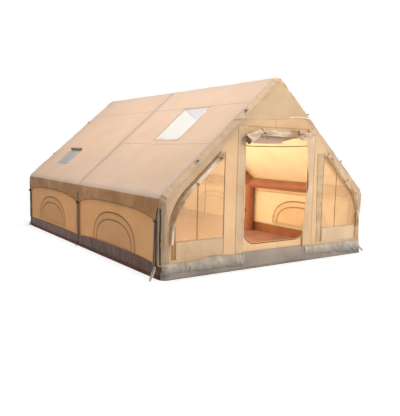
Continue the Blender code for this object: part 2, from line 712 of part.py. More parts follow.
def front_rolls():
    stations = spread(-DOOR_ROLL_HALF_LENGTH, DOOR_ROLL_HALF_LENGTH, DOOR_ROLL_STEPS)
    radii = [door_roll_radius(x) for x in stations]
    radii[0] = radii[-1] = DOOR_ROLL_RADIUS * HALF_SHARE
    rings = rings_along([door_roll_centre(x) for x in stations], (0, 1, 0), radii, ROLL_SIDES)
    tube("door_roll", rings, CANVAS)

    z = DOOR_HEAD + MESH_ROLL_LAP - MESH_ROLL_RADIUS
    y = FRONT_FACE + SHEET + SEAM_GAP + MESH_ROLL_RADIUS * ROLL_FLAT_SHARE
    ends = [(x, y, z) for x in spread(-MESH_ROLL_HALF_LENGTH, MESH_ROLL_HALF_LENGTH, CURVE_STEPS)]
    tube("mesh_door_roll", rings_along(ends, (0, 1, 0), MESH_ROLL_RADIUS, ROLL_SIDES), INSECT_MESH)

    y = FRONT_FACE - SEAM_GAP - SHUTTER_ROLL_RADIUS * ROLL_FLAT_SHARE
    for label, side in SIDES.items():
        inner, outer = JAMB_OUTER, SCREEN_OUTER + SHUTTER_ROLL_INSET
        lift = SHUTTER_ROLL_INSET / cos(SLOPE)
        corners = [(inner, SCREEN_HEAD + lift), (outer, SCREEN_SHOULDER + lift), (outer, SCREEN_SILL)]
        route = rounded(corners, SCREEN_BEND, CURVE_STEPS)
        points = [(side * point.x, y, point.y) for point, _ in route]
        rings = rings_along(points, (0, 1, 0), SHUTTER_ROLL_RADIUS, ROLL_SIDES)
        tube(f"{label}_shutter_roll", rings, CANVAS)


def door_ties():
    """A webbing loop round the rolled door on each side, closed in front by a toggle."""
    for label, side in SIDES.items():
        centre = door_roll_centre(side * TIE_OFFSET)

        def at(u, v, height, centre=centre):
            return centre + Vector((height, u, v))

        half = TIE_WIDTH * HALF_SHARE
        profile = [(TIE_RADIUS, -half), (TIE_RADIUS, half), (TIE_BORE, half), (TIE_BORE, -half)]
        profile.append(profile[0])
        loop = turned(f"{label}_door_tie", profile, at, WEBBING)
        reach = TOGGLE_LENGTH * HALF_SHARE
        out = (TIE_RADIUS + TOGGLE_RADIUS - TIE_THICKNESS) * sin(QUARTER * HALF_SHARE)
        middle = centre - Vector((0, out, out))
        ends = [middle - Vector((reach, 0, 0)), middle + Vector((reach, 0, 0))]
        toggle = tube(f"{label}_toggle", rings_along(ends, (0, 1, 0), TOGGLE_RADIUS, ROLL_SIDES), None)
        join(loop, toggle)


def door_sliders():
    """Zip sliders at the top of the door's side zips; each runs straight down its jamb."""
    back = FRONT_FACE - SEAM_GAP
    front = back - SLIDER_DEPTH
    for label, side in SIDES.items():
        x = side * (DOOR_HALF_WIDTH + SLIDER_EDGE + SLIDER_WIDTH * HALF_SHARE)
        half = SLIDER_WIDTH * HALF_SHARE
        waist = half * HALF_SHARE
        length = SLIDER_LENGTH * HALF_SHARE
        shape = [(half, length), (-half, length), (-waist, -length), (waist, -length)]
        outline = [(x + u, SLIDER_HEIGHT + v) for u, v in shape]
        body = prism(f"{label}_door_slider", outline, across_y, front, back, BLACK_PLASTIC)
        pull_half = PULL_WIDTH * HALF_SHARE
        head = -length * HALF_SHARE
        foot = head - PULL_LENGTH
        tab = [(pull_half, head), (-pull_half, head), (-pull_half, foot), (pull_half, foot)]
        outline = [(x + u, SLIDER_HEIGHT + v) for u, v in tab]
        middle = (front + back) * HALF_SHARE
        join(body, prism(f"{label}_pull", outline, across_y, middle - PULL_THICKNESS, middle))
        place(body, (x, back, SLIDER_HEIGHT))


def front_skirts():
    """Gathered strips of cloth in front of the tray, one on each side of the door."""
    back = FRONT_FACE - SEAM_GAP
    steps = SKIRT_FOLDS * SKIRT_FOLD_STEPS
    for label, side in SIDES.items():
        rows = []
        for step in range(steps + 1):
            x = side * (SKIRT_INNER + (SKIRT_OUTER - SKIRT_INNER) * step / steps)
            wave = (1 - cos(FULL_TURN * step / SKIRT_FOLD_STEPS)) * HALF_SHARE
            row = []
            for share in spread(0.0, 1.0, 2):
                z = SKIRT_TOP + (SKIRT_HEM - SKIRT_TOP) * share
                y = back - SKIRT_FOLD_DEPTH * wave * share
                row.append((Vector((x, y - SHEET, z)), Vector((x, y, z))))
            rows.append(row)
        sheet(f"front_{label}_skirt", rows, SKIRT_CLOTH)


def stove_jack():
    near = MIDDLE_Y + JACK_NEAR
    far = near + JACK_LENGTH
    side = SIDES["left"]
    outline = [(JACK_LOW, near), (JACK_HIGH, near), (JACK_HIGH, far), (JACK_LOW, far)]
    prism(
        "stove_jack_patch", outline, lambda u, v, w: slope_point(side, u, v, w), SEAM_GAP,
        SEAM_GAP + PATCH_SHEET, JACK_CLOTH,
    )
    along = JACK_HIGH + SEAM_GAP + JACK_ROLL_RADIUS
    lift = SEAM_GAP + JACK_ROLL_RADIUS * ROLL_FLAT_SHARE
    ends = [slope_point(side, along, y, lift) for y in spread(near, far, CURVE_STEPS)]
    uphill = slope_point(side, JACK_HIGH, near, lift) - slope_point(side, JACK_LOW, near, lift)
    rings = rings_along(ends, uphill, JACK_ROLL_RADIUS, ROLL_SIDES)
    tube("stove_jack_flap", rings, WEBBING)


def circle(centre, radius):
    """Outline of a round hole or boss."""
    angles = spread(0, FULL_TURN, EYE_STEPS)[:-1]
    return [(centre[0] + radius * cos(angle), centre[1] + radius * sin(angle)) for angle in angles]


def column_straps():
    """Webbing on each column, sewn to the valance: an eye for a ring, and a cord loop for a peg."""
    inner = HALF_WIDTH + SHEET + SEAM_GAP + SEAM_GAP
    outer = inner + STRAP_THICKNESS
    half = STRAP_WIDTH * HALF_SHARE
    bore = RING_WIRE + RING_CLEARANCE
    eye = (outer + bore, EYE_HEIGHT)
    strip = [(inner, STRAP_FOOT), (outer, STRAP_FOOT), (outer, STRAP_TOP), (inner, STRAP_TOP)]
    stations = {
        "front": FRONT_Y + STRAP_INSET,
        "middle": MIDDLE_Y,
        "rear": REAR_Y - STRAP_INSET,
    }
    for label, side in SIDES.items():
        for bay, y in stations.items():
            name = f"{label}_{bay}_strap"

            def at(u, v, w, side=side):
                return Vector((side * u, w, v))

            strap = prism(name, strip, at, y - half, y + half, WEBBING)
            join(strap, peg_loop(f"{name}_loop", side, y, outer))
            if bay == "middle":
                continue
            join(strap, prism(f"{name}_eye", circle(eye, bore + EYE_WALL), at, y - half, y + half))
            near, far = y - half - OVERRUN, y + half + OVERRUN
            cut(strap, prism(f"{name}_eye_hole", circle(eye, bore), at, near, far))
            d_ring(f"{label}_{bay}_ring", Vector((side * eye[0], y, EYE_HEIGHT)))


def peg_loop(name, side, y, face):
    """Cord loop from the strap's foot out and down to the ground."""
    top = Vector((side * (face + PEG_CORD_RADIUS * HALF_SHARE), y, STRAP_FOOT + PEG_CORD_RADIUS))
    foot = Vector((side * (face + PEG_LOOP_REACH), y, PEG_CORD_RADIUS + PEG_CORD_RADIUS))
    along = (foot - top).normalized()
    across = Vector((0, 1, 0))
    centre = foot - along * PEG_LOOP_HALF_WIDTH
    points = [top + across * PEG_LOOP_HALF_WIDTH, top - across * PEG_LOOP_HALF_WIDTH]
    for angle in spread(HALF_TURN, 0, PEG_LOOP_STEPS):
        spot = across * cos(angle) + along * sin(angle)
        points.append(centre + spot * PEG_LOOP_HALF_WIDTH)
    rings = rings_along(points, along.cross(across), PEG_CORD_RADIUS, RING_SIDES, closed=True)
    return tube(name, rings, None, closed=True)


def d_ring(name, pivot):
    """Wire ring with a straight bar along y through the strap's eye, hanging down."""
    points = [pivot + Vector((0, RING_HALF_BAR, 0)), pivot - Vector((0, RING_HALF_BAR, 0))]
    for angle in spread(HALF_TURN, FULL_TURN, RING_STEPS)[1:-1]:
        down = RING_HALF_BAR * sin(angle) - RING_WIRE
        points.append(pivot + Vector((0, RING_HALF_BAR * cos(angle), down)))
    rings = rings_along(points, (1, 0, 0), RING_WIRE, RING_SIDES, closed=True)
    ring = tube(name, rings, STEEL, closed=True)
    place(ring, pivot)


def inner_wall_depth(radius):
    """How far below the bladder's outer face a disc of this radius lies clear of its inner wall."""
    inner = (BLADDER_RADIUS - BLADDER_FILM) * cos(HALF_TURN / TUBE_SIDES)
    return BLADDER_RADIUS - (inner ** 2 - radius ** 2) ** HALF_SHARE + SEAM_GAP


def valves():
    """Inflation valve of the rear arch: body, spring-loaded poppet and screw cap; and the relief valve."""
    at = valve_point(REAR_Y, SIDES["right"])
    seat = -inner_wall_depth(VALVE_FLANGE)
    floor = seat - VALVE_FLANGE_THICKNESS
    rim = SLEEVE_SLIP + SLEEVE_WALL + VALVE_RISE
    profile = [
        (VALVE_FLANGE, floor), (VALVE_FLANGE, seat), (VALVE_NECK, seat), (VALVE_NECK, rim),
        (VALVE_BORE, rim), (VALVE_BORE, floor), (VALVE_FLANGE, floor),
    ]
    body = turned("inflation_valve", profile, at, BLACK_PLASTIC)
    deck = rim - VALVE_SPIDER_DEPTH
    bar = [(VALVE_BORE + CAP_WALL * HALF_SHARE, VALVE_SPIDER * HALF_SHARE)]
    bar.append((bar[0][0], -bar[0][1]))
    bar += [(-x, y) for x, y in reversed(bar)]
    spider = prism("valve_spider", bar, at, deck - VALVE_SPIDER, deck)
    hub = turned("valve_hub", [(VALVE_HUB, deck - VALVE_SPIDER), (VALVE_HUB, deck)], at, None)
    join(body, spider)
    join(body, hub)
    guide = STEM_RADIUS + STEM_FIT
    ends = [(guide, deck - VALVE_SPIDER - OVERRUN * HALF_SHARE), (guide, deck + OVERRUN * HALF_SHARE)]
    cut(body, turned("valve_guide", ends, at, None))

    button_top = rim - BUTTON_THICKNESS
    poppet_top = floor - SEAM_GAP
    profile = [
        (POPPET_RADIUS, poppet_top - POPPET_THICKNESS), (POPPET_RADIUS, poppet_top),
        (STEM_RADIUS, poppet_top), (STEM_RADIUS, button_top - BUTTON_THICKNESS),
        (BUTTON_RADIUS, button_top - BUTTON_THICKNESS), (BUTTON_RADIUS, button_top),
    ]
    poppet = turned("valve_poppet", profile, at, STEEL)
    place(poppet, at(0, 0, poppet_top))

    bore = VALVE_NECK + VALVE_FIT
    outer = bore + CAP_WALL
    lid = rim + SEAM_GAP
    foot = rim - CAP_HEIGHT + CAP_WALL
    top = lid + CAP_WALL
    profile = [(outer, foot), (outer, top), (0, top), (0, lid), (bore, lid), (bore, foot)]
    cap = turned("valve_cap", [*profile, profile[0]], at, BLACK_PLASTIC)
    for grip in range(CAP_GRIPS):
        angle = FULL_TURN * grip / CAP_GRIPS
        rib = circle((outer * cos(angle), outer * sin(angle)), CAP_GRIP_RADIUS)
        join(cap, prism(f"cap_grip_{grip}", rib, at, foot, top))
    place(cap, at(0, 0, foot))

    at = valve_point(MIDDLE_Y, SIDES["right"])
    seat = -inner_wall_depth(RELIEF_FLANGE)
    floor = seat - VALVE_FLANGE_THICKNESS
    neck_top = SLEEVE_SLIP + SLEEVE_WALL + RELIEF_RISE
    profile = [
        (RELIEF_FLANGE, floor), (RELIEF_FLANGE, seat), (RELIEF_NECK, seat), (RELIEF_NECK, neck_top),
        (RELIEF_HEAD, neck_top), (RELIEF_HEAD, neck_top + RELIEF_HEAD_HEIGHT),
    ]
    turned("relief_valve", profile, at, BLACK_PLASTIC)


clear_scene()
groundsheet()
air_arches()
air_beams()
side_walls()
front_and_rear()
arch_covers()
roofs()
front_rolls()
door_ties()
door_sliders()
front_skirts()
stove_jack()
column_straps()
valves()
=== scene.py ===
"""Looks of the inflatable house tent: sewn canvas over three air arches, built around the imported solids.

Metres, in the frame of the solids: +Z up, the front gable faces -Y.
"""

from itertools import product
from math import atan2, ceil, cos, hypot, radians, sin, tan

import bmesh
import bpy
from mathutils import Matrix, Vector, noise


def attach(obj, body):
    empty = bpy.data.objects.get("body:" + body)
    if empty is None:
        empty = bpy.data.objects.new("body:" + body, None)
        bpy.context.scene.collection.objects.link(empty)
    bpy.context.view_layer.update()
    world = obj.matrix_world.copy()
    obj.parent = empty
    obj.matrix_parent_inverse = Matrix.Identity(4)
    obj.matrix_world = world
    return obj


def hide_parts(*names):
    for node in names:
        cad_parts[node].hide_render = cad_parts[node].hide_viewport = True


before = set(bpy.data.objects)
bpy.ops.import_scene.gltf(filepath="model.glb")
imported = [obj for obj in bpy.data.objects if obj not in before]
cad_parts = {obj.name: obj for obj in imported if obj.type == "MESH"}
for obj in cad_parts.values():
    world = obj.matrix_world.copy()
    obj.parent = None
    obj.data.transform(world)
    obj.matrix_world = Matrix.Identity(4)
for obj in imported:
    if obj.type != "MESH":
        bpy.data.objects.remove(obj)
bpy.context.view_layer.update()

# Shell sizes, as the solids have them
HALF_WIDTH = 1.80
EAVE_HEIGHT = 0.98
RIDGE_HEIGHT = 2.56
ARCH_SPACING = 2.515
MIDDLE_Y = 0.052925
FRONT_Y = MIDDLE_Y - ARCH_SPACING
REAR_Y = MIDDLE_Y + ARCH_SPACING
COVER_RADIUS = 0.0928
ROOF_RADIUS = 0.0971
SLEEVE_RADIUS = 0.0885
BLADDER_RADIUS = 0.084
TUBE_BEND = 0.10
TRAY_HEIGHT = 0.17
QUARTER, HALF_TURN, FULL_TURN = radians(90), radians(180), radians(360)
SLOPE = atan2(RIDGE_HEIGHT - EAVE_HEIGHT, HALF_WIDTH)
COLUMN_X = HALF_WIDTH - COVER_RADIUS
COLUMN_TOP = EAVE_HEIGHT + COVER_RADIUS * tan(SLOPE) - COVER_RADIUS / cos(SLOPE)
ARCH_TOP = RIDGE_HEIGHT - COVER_RADIUS / cos(SLOPE)
RAFTER = hypot(COLUMN_X, ARCH_TOP - COLUMN_TOP)
FRONT_FACE = FRONT_Y - COVER_RADIUS
COVER_ARC = COVER_RADIUS * QUARTER
EAVE_ARC = ROOF_RADIUS * (QUARTER - SLOPE)
VALANCE_SEAM = -EAVE_ARC * 0.55
RIDGE_ARC = ROOF_RADIUS * SLOPE
ROOF_LAP = 0.008
WALL_FOOT = TRAY_HEIGHT - 0.004
SIDES = {"left": -1, "right": 1}
ENDS = {"front": -1, "rear": 1}
BAYS = {"front": MIDDLE_Y - ARCH_SPACING / 2, "rear": MIDDLE_Y + ARCH_SPACING / 2}
ARCHES = {"front": FRONT_Y, "middle": MIDDLE_Y, "rear": REAR_Y}

# Roof, windows and door, as the solids have them
SKYLIGHT_LOW, SKYLIGHT_HIGH = 1.0358, 1.7537
SKYLIGHT_NEAR, SKYLIGHT_FAR = FRONT_Y + 0.8903, FRONT_Y + 1.5543
VALANCE_CROWN, VALANCE_DROP, VALANCE_POWER = 0.81, 0.12, 3
WINDOW_HALF, WINDOW_SILL, WINDOW_RISE, WINDOW_POWER = 0.6564, 0.223, 0.434, 2.4
DOOR_HALF, DOOR_SILL, DOOR_HEAD, DOOR_CORNER = 0.565, 0.34, 1.755, 0.20
SCREEN_INNER, SCREEN_OUTER, SCREEN_SILL, SCREEN_BEND = 0.905, 1.655, 0.44, 0.72
SCREEN_HEAD = COLUMN_TOP + (COLUMN_X - SCREEN_INNER) * tan(SLOPE) - 0.132
SCREEN_SHOULDER = COLUMN_TOP + (COLUMN_X - SCREEN_OUTER) * tan(SLOPE) - 0.164
JACK_LOW, JACK_HIGH = RAFTER * 0.163, RAFTER * 0.327
JACK_NEAR, JACK_FAR = MIDDLE_Y + ARCH_SPACING * 0.530, MIDDLE_Y + ARCH_SPACING * 0.723
FLAP_HEM = 1.965

# Thicknesses, cells that a sheet is cut into, and the angle past which an edge stays sharp
CLOTH, TRIM, NET_THREAD, TAPE = 0.0016, 0.0012, 0.0008, 0.0006
TAPE_LIFT, TAPE_EDGE_SHARE = 0.0008, 0.4
CELL, STEP = 0.034, 0.035
SHARP = radians(50)

# Thread spacing of the nets: coarser than the real 1.2 mm, so that it shows
NET_PITCH = 0.0016

# Straps, rings and ties, as the solids have them
STRAP_INSET, STRAP_WIDTH, STRAP_FOOT, STRAP_FACE = 0.045, 0.025, 0.110, 1.8068
EYE_X, EYE_HEIGHT, RING_HALF = 1.8107, 0.715, 0.020
TIE_WIDTH = 0.025


# Helpers for materials

def linear(hexcode):
    """An sRGB colour such as "#E8C8A4" as linear RGBA."""
    channels = [int(hexcode[k:k + 2], 16) / 255 for k in (1, 3, 5)]
    return (*(c / 12.92 if c <= 0.04045 else ((c + 0.055) / 1.055) ** 2.4 for c in channels), 1.0)


def node(tree, kind, settings=None, **inputs):
    """Adds a node: settings are its own properties, inputs its sockets, as values or as sockets to link."""
    made = tree.nodes.new("ShaderNode" + kind)
    for key, value in (settings or {}).items():
        setattr(made, key, value)
    for key, value in inputs.items():
        socket = made.inputs[int(key[1:])] if key[1:].isdigit() else made.inputs[key.replace("_", " ")]
        if isinstance(value, bpy.types.NodeSocket):
            tree.links.new(value, socket)
        else:
            socket.default_value = value
    return made


def blank(name):
    material = bpy.data.materials.new(name)
    material.use_nodes = True
    material.node_tree.nodes.clear()
    return material, material.node_tree


def close(tree, shader):
    node(tree, "OutputMaterial", Surface=shader)


def two_tone(tree, vector, light, dark, scale):
    """Colour that drifts softly between two tones."""
    drift = node(tree, "TexNoise", Vector=vector, Scale=scale, Detail=3.0)
    share = node(tree, "MapRange", Value=drift.outputs["Fac"], From_Min=0.35, From_Max=0.65)
    mix = node(tree, "Mix", {"data_type": "RGBA"}, Factor=share.outputs["Result"])
    mix.inputs[6].default_value = linear(dark)
    mix.inputs[7].default_value = linear(light)
    return mix.outputs[2]


def weave_height(tree, uv, pitch):
    """Height of a plain weave: warp and weft threads of this pitch in metres."""
    threads = []
    for direction in ("X", "Y"):
        wave = node(tree, "TexWave", {"wave_type": "BANDS", "bands_direction": direction},
                    Vector=uv, Scale=0.31416 / pitch, Distortion=0.0)
        threads.append(wave.outputs["Fac"])
    return node(tree, "Math", {"operation": "MAXIMUM"}, _0=threads[0], _1=threads[1]).outputs[0]


def cloth_look(name, light, dark, through, share, pitch=0.0008, roughness=0.85, crease=0.0025, drift=2.6,
               ground_shade=None):
    """Woven canvas: a plain weave with slubs and soft creases, letting some light through in a deeper tone.

    The last argument is a darker colour that the cloth takes on near the ground, as painted shade, with the
    heights between which it fades out.
    """
    material, tree = blank(name)
    uv = node(tree, "UVMap", {"uv_map": "cloth"}).outputs["UV"]
    place = node(tree, "TexCoord").outputs["Object"]
    colour = two_tone(tree, place, light, dark, drift)
    # Painted shade: towards the ground the colour turns into the darker one given
    if ground_shade:
        tone, full, none = ground_shade
        height = node(tree, "SeparateXYZ", Vector=place).outputs["Z"]
        unshaded = node(tree, "MapRange", Value=height, From_Min=full, From_Max=none)
        mix = node(tree, "Mix", {"data_type": "RGBA"}, Factor=unshaded.outputs["Result"], _7=colour)
        mix.inputs[6].default_value = linear(tone)
        colour = mix.outputs[2]
    slubs = node(tree, "TexNoise", Vector=node(tree, "Mapping", Vector=uv, Scale=(1.0, 14.0, 1.0)).outputs[0],
                 Scale=60.0, Detail=4.0)
    creases = node(tree, "TexNoise", Vector=place, Scale=7.0, Detail=5.0, Roughness=0.55, Distortion=0.6)
    fine = node(tree, "Bump", Height=weave_height(tree, uv, pitch), Distance=0.00025, Strength=0.5)
    middle = node(tree, "Bump", Height=slubs.outputs["Fac"], Distance=0.0005, Strength=0.35,
                  Normal=fine.outputs[0])
    broad = node(tree, "Bump", Height=creases.outputs["Fac"], Distance=crease * 4, Strength=0.55,
                 Normal=middle.outputs[0])
    cloth = node(tree, "BsdfPrincipled", Base_Color=colour, Roughness=roughness, Normal=broad.outputs[0])
    cloth.inputs["Sheen Weight"].default_value = 0.15
    cloth.inputs["Sheen Roughness"].default_value = 0.5
    cloth.inputs["Specular IOR Level"].default_value = 0.25
    glow = node(tree, "BsdfTranslucent", Color=linear(through), Normal=broad.outputs[0])
    mixed = node(tree, "MixShader", Fac=share, _1=cloth.outputs[0], _2=glow.outputs[0])
    close(tree, mixed.outputs[0])
    return material


def tape_look(name, light, dark, pitch=0.0009, stitches=True):
    """Woven tape with a row of lock stitches near each edge; the UV runs along it and across it, in metres."""
    material, tree = blank(name)
    uv = node(tree, "UVMap", {"uv_map": "cloth"}).outputs["UV"]
    place = node(tree, "TexCoord").outputs["Object"]
    colour = two_tone(tree, place, light, dark, 9.0)
    fine = node(tree, "Bump", Height=weave_height(tree, uv, pitch), Distance=0.0003, Strength=0.6)
    normal = fine.outputs[0]
    if stitches:
        parts = node(tree, "SeparateXYZ", Vector=uv)
        dash = node(tree, "Math", {"operation": "PINGPONG"}, _0=parts.outputs["X"], _1=0.003).outputs[0]
        row = node(tree, "Math", {"operation": "PINGPONG"}, _0=parts.outputs["Y"], _1=0.0045).outputs[0]
        near = node(tree, "MapRange", Value=row, From_Min=0.0004, From_Max=0.0010, To_Min=1.0, To_Max=0.0)
        long = node(tree, "MapRange", Value=dash, From_Min=0.0006, From_Max=0.0012)
        stitch = node(tree, "Math", {"operation": "MULTIPLY"}, _0=near.outputs[0], _1=long.outputs[0]).outputs[0]
        normal = node(tree, "Bump", Height=stitch, Distance=0.0006, Strength=0.8, Normal=normal).outputs[0]
        thread = node(tree, "Mix", {"data_type": "RGBA"}, Factor=stitch, _6=colour)
        thread.inputs[7].default_value = linear(light)
        colour = thread.outputs[2]
    tape = node(tree, "BsdfPrincipled", Base_Color=colour, Roughness=0.8, Normal=normal)
    tape.inputs["Specular IOR Level"].default_value = 0.3
    close(tree, tape.outputs[0])
    return material


def net_look(name, light, dark, open_share):
    """Knitted insect net: threads round small holes, which take this share of it."""
    material, tree = blank(name)
    uv = node(tree, "UVMap", {"uv_map": "cloth"}).outputs["UV"]
    place = node(tree, "TexCoord").outputs["Object"]
    colour = two_tone(tree, place, light, dark, 5.0)
    edge = 0.5 + 0.5 * sin(HALF_TURN * (open_share ** 0.5 - 0.5))
    weave = weave_height(tree, uv, NET_PITCH)
    holes = node(tree, "MapRange", Value=weave, From_Min=edge - 0.03, From_Max=edge + 0.03)
    thread = node(tree, "BsdfPrincipled", Base_Color=colour, Roughness=0.8)
    glow = node(tree, "BsdfTranslucent", Color=linear(light))
    cloth = node(tree, "MixShader", Fac=0.4, _1=thread.outputs[0], _2=glow.outputs[0])
    gap = node(tree, "BsdfTransparent")
    mixed = node(tree, "MixShader", Fac=holes.outputs[0], _1=gap.outputs[0], _2=cloth.outputs[0])
    close(tree, mixed.outputs[0])
    return material


def hard_look(name, light, dark, roughness, metallic=0.0):
    """Moulded plastic or wire: fine surface texture and slightly uneven gloss."""
    material, tree = blank(name)
    place = node(tree, "TexCoord").outputs["Object"]
    colour = two_tone(tree, place, light, dark, 40.0)
    grain = node(tree, "TexNoise", Vector=place, Scale=900.0, Detail=3.0)
    gloss = node(tree, "MapRange", Value=grain.outputs["Fac"], To_Min=roughness - 0.08, To_Max=roughness + 0.08)
    bump = node(tree, "Bump", Height=grain.outputs["Fac"], Distance=0.0002, Strength=0.4)
    shader = node(tree, "BsdfPrincipled", Base_Color=colour, Roughness=gloss.outputs[0], Metallic=metallic,
                  Normal=bump.outputs[0])
    close(tree, shader.outputs[0])
    return material


def film_look(name, tint, clear_share):
    """Soft clear vinyl: glossy, slightly milky, with faint ripples."""
    material, tree = blank(name)
    place = node(tree, "TexCoord").outputs["Object"]
    ripple = node(tree, "TexNoise", Vector=place, Scale=9.0, Detail=2.0)
    bump = node(tree, "Bump", Height=ripple.outputs["Fac"], Distance=0.004, Strength=0.25)
    haze = node(tree, "TexNoise", Vector=place, Scale=30.0, Detail=3.0)
    gloss = node(tree, "MapRange", Value=haze.outputs["Fac"], To_Min=0.08, To_Max=0.2)
    body = node(tree, "BsdfPrincipled", Base_Color=linear(tint), Roughness=gloss.outputs[0],
                Normal=bump.outputs[0])
    body.inputs["Coat Weight"].default_value = 0.5
    gap = node(tree, "BsdfTransparent")
    mixed = node(tree, "MixShader", Fac=1 - clear_share, _1=gap.outputs[0], _2=body.outputs[0])
    close(tree, mixed.outputs[0])
    return material


# Woven canvas: matt and slubby, warm, and daylight comes through it in a deeper tone
ROOF_CANVAS = cloth_look("roof_woven_canvas", "#E9D4C2", "#E4CEB9", "#EED8B4", 0.26)
GABLE_CANVAS = cloth_look("gable_woven_canvas", "#ECCFA8", "#E3C199", "#EED29C", 0.24)
WALL_CANVAS = cloth_look("wall_woven_canvas", "#E2CBA2", "#D7BD92", "#ECC488", 0.42)
FLAP_CANVAS = cloth_look("flap_woven_canvas", "#DCC29A", "#D0B48C", "#E6C494", 0.42)
# The valance is the roof's own canvas, drawn a darker brown: painted shade on the hanging cloth
VALANCE_SHADED_CANVAS = cloth_look("valance_painted_shade_canvas", "#D8A26D", "#C08956", "#C87840", 0.12, crease=0.012)
# The arch band is drawn a little darker than the gable canvas: painted shade where the cloth turns round the tube
BAND_CANVAS = cloth_look("band_woven_canvas", "#E5C6A2", "#D8B894", "#E2A868", 0.15, crease=0.006)
TRIM_CANVAS = cloth_look("trim_woven_canvas", "#EFD6B2", "#DDBE96", "#F0B878", 0.2, crease=0.005)
# A fold of the same canvas, drawn much paler: painted highlight
LIT_FOLD_CANVAS = cloth_look("fold_painted_highlight_canvas", "#FAEFDC", "#EFDCC0", "#F0D0A0", 0.1, crease=0.005)
LINING = cloth_look("lining_woven_canvas", "#F6DEB2", "#EFD4A6", "#F4D8A6", 0.30)
# Tight polyester of the sleeves, and the smooth welded film of the bladders
SLEEVE_POLYESTER = cloth_look("sleeve_woven_polyester", "#AB6A43", "#9C5C39", "#C87840", 0.10, pitch=0.0012,
                              roughness=0.6)
BLADDER_FILM = hard_look("bladder_welded_film", "#E4E0D6", "#D8D2C4", 0.35)
# Coated polyester and canvas: a smooth skin with a low sheen, and next to no light through it
TRAY_COATED = cloth_look("tray_coated_polyester", "#6F4532", "#593728", "#8A6A50", 0.02, pitch=0.0012,
                         roughness=0.55, crease=0.016, drift=5.0)
FLOOR_COATED = cloth_look("floor_coated_polyester", "#A46030", "#8A4C26", "#A86038", 0.02, pitch=0.0012,
                          roughness=0.6)
HEM_COATED = tape_look("tray_hem_tape", "#6C4238", "#57362E")
SILL_COATED = cloth_look("sill_coated_polyester", "#A89A8D", "#93847A", "#A08870", 0.02, pitch=0.0012,
                         roughness=0.5, crease=0.006)
# The skirt canvas turns grey towards the ground: painted shade low on the skirts
SKIRT_COATED = cloth_look("skirt_coated_canvas", "#D2C4B0", "#B4A694", "#C0A888", 0.06, roughness=0.6,
                          crease=0.013, drift=6.0, ground_shade=("#7E7977", 0.05, 0.17))
# Knitted net: threads round open holes; rolled up it is shown as a cloth of the same threads
NET = net_look("insect_knitted_net", "#E6CBA4", "#DABB90", open_share=0.5)
WINDOW_NET = net_look("window_knitted_net", "#F0DAB4", "#E6CCA0", open_share=0.72)
DARK_NET = cloth_look("rolled_knitted_net", "#CFB4A0", "#B4977F", "#C8B8A8", 0.25, pitch=NET_PITCH,
                      crease=0.005)
# Folded, knitted and woven tapes: a tight flat weave with a row of lock stitches near each edge
SEAM_TAPE = tape_look("seam_folded_tape", "#D2B292", "#BF9C78")
ROOF_TAPE = tape_look("roof_folded_tape", "#DDC2A4", "#D0B190")
VALANCE_TAPE = tape_look("valance_folded_tape", "#A67B52", "#936944")
COLUMN_TAPE = tape_look("column_woven_patch", "#C29E7A", "#AE8A68")
# Tapes over the middle arch, drawn darker than the other roof tapes: partly painted shade along the arch
WELT_SHADED_TAPE = tape_look("arch_welt_painted_shade_tape", "#BC9E80", "#A88A6C")
DARK_TAPE = tape_look("zip_knitted_tape", "#8A5F42", "#74503A")
DARK_BINDING_TAPE = tape_look("net_binding_tape", "#5E4A36", "#4A3A2C")
ARCH_TAPE = tape_look("window_knitted_tape", "#A67A50", "#926A44")
INNER_TAPE = tape_look("inner_folded_tape", "#A8602E", "#935026")
# A darker band inside the wall under the eave beam: painted shadow of the beam
BEAM_SHADOW_LINING = tape_look("beam_shadow_painted_band", "#E2B680", "#D6A66E")
WEBBING = tape_look("strap_woven_webbing", "#5B5048", "#463C36", pitch=NET_PITCH)
CORD = tape_look("guy_braided_cord", "#DDD0BE", "#BFB19E", stitches=False)
# Skylights: slightly milky vinyl with faint ripples, over a white blind with a greyer back; the blind's inner
# face is drawn darker, as painted shade
BLIND = cloth_look("skylight_blind_cloth", "#FFFCF4", "#FBF5EA", "#FFFFFF", 0.03)
BLIND_BACK = cloth_look("skylight_blind_back", "#EFE3E8", "#E6D8DE", "#E6DAD8", 0.03)
BLIND_SHADED_LINING = cloth_look("skylight_blind_painted_shade", "#C4AC98", "#B79E8A", "#C0A890", 0.03)
CLEAR_VINYL = film_look("skylight_clear_vinyl", "#FFFEFA", 0.75)
# Stove jack: smooth grey coated glass cloth, bound with tape, and its darker rain flap
JACK_COATED = cloth_look("jack_coated_glass_cloth", "#C6C3BE", "#A9A8A6", "#A0A0A0", 0.02, roughness=0.5)
JACK_FLAP_CLOTH = cloth_look("jack_flap_cloth", "#D3BC9F", "#9A7F6A", "#8A6A50", 0.02, crease=0.005,
                             drift=9.0)
JACK_TAPE = tape_look("jack_folded_tape", "#CFC8BE", "#A39A90")
# Rolled canvas in strong light and shade, black moulded plastic, and zinc and painted metal
ROLL_CANVAS = cloth_look("rolled_woven_canvas", "#F8E8CE", "#B8926A", "#F0B878", 0.12, crease=0.004,
                         drift=3.0)
PLASTIC = hard_look("toggle_moulded_plastic", "#2A2624", "#1C1A19", 0.4)
ZINC = hard_look("ring_zinc_wire", "#9A9DA2", "#84878C", 0.35, 1.0)
ZINC_DARK = hard_look("slider_painted_metal", "#3A3532", "#2A2624", 0.35, 0.6)
# Ties, and the creased strips that bind windows and corners, drawn darker than the canvas round them as painted
# shade
TIE_TAPE = tape_look("tie_woven_tape", "#D8C09C", "#B49A78")
# Brown strips down the outer side of each front window: loose cloth drawn darker, as painted shade
SIDE_SHADED_STRIP = cloth_look("window_side_painted_shade", "#C39A6C", "#AE8256", "#C08040", 0.10, crease=0.005)
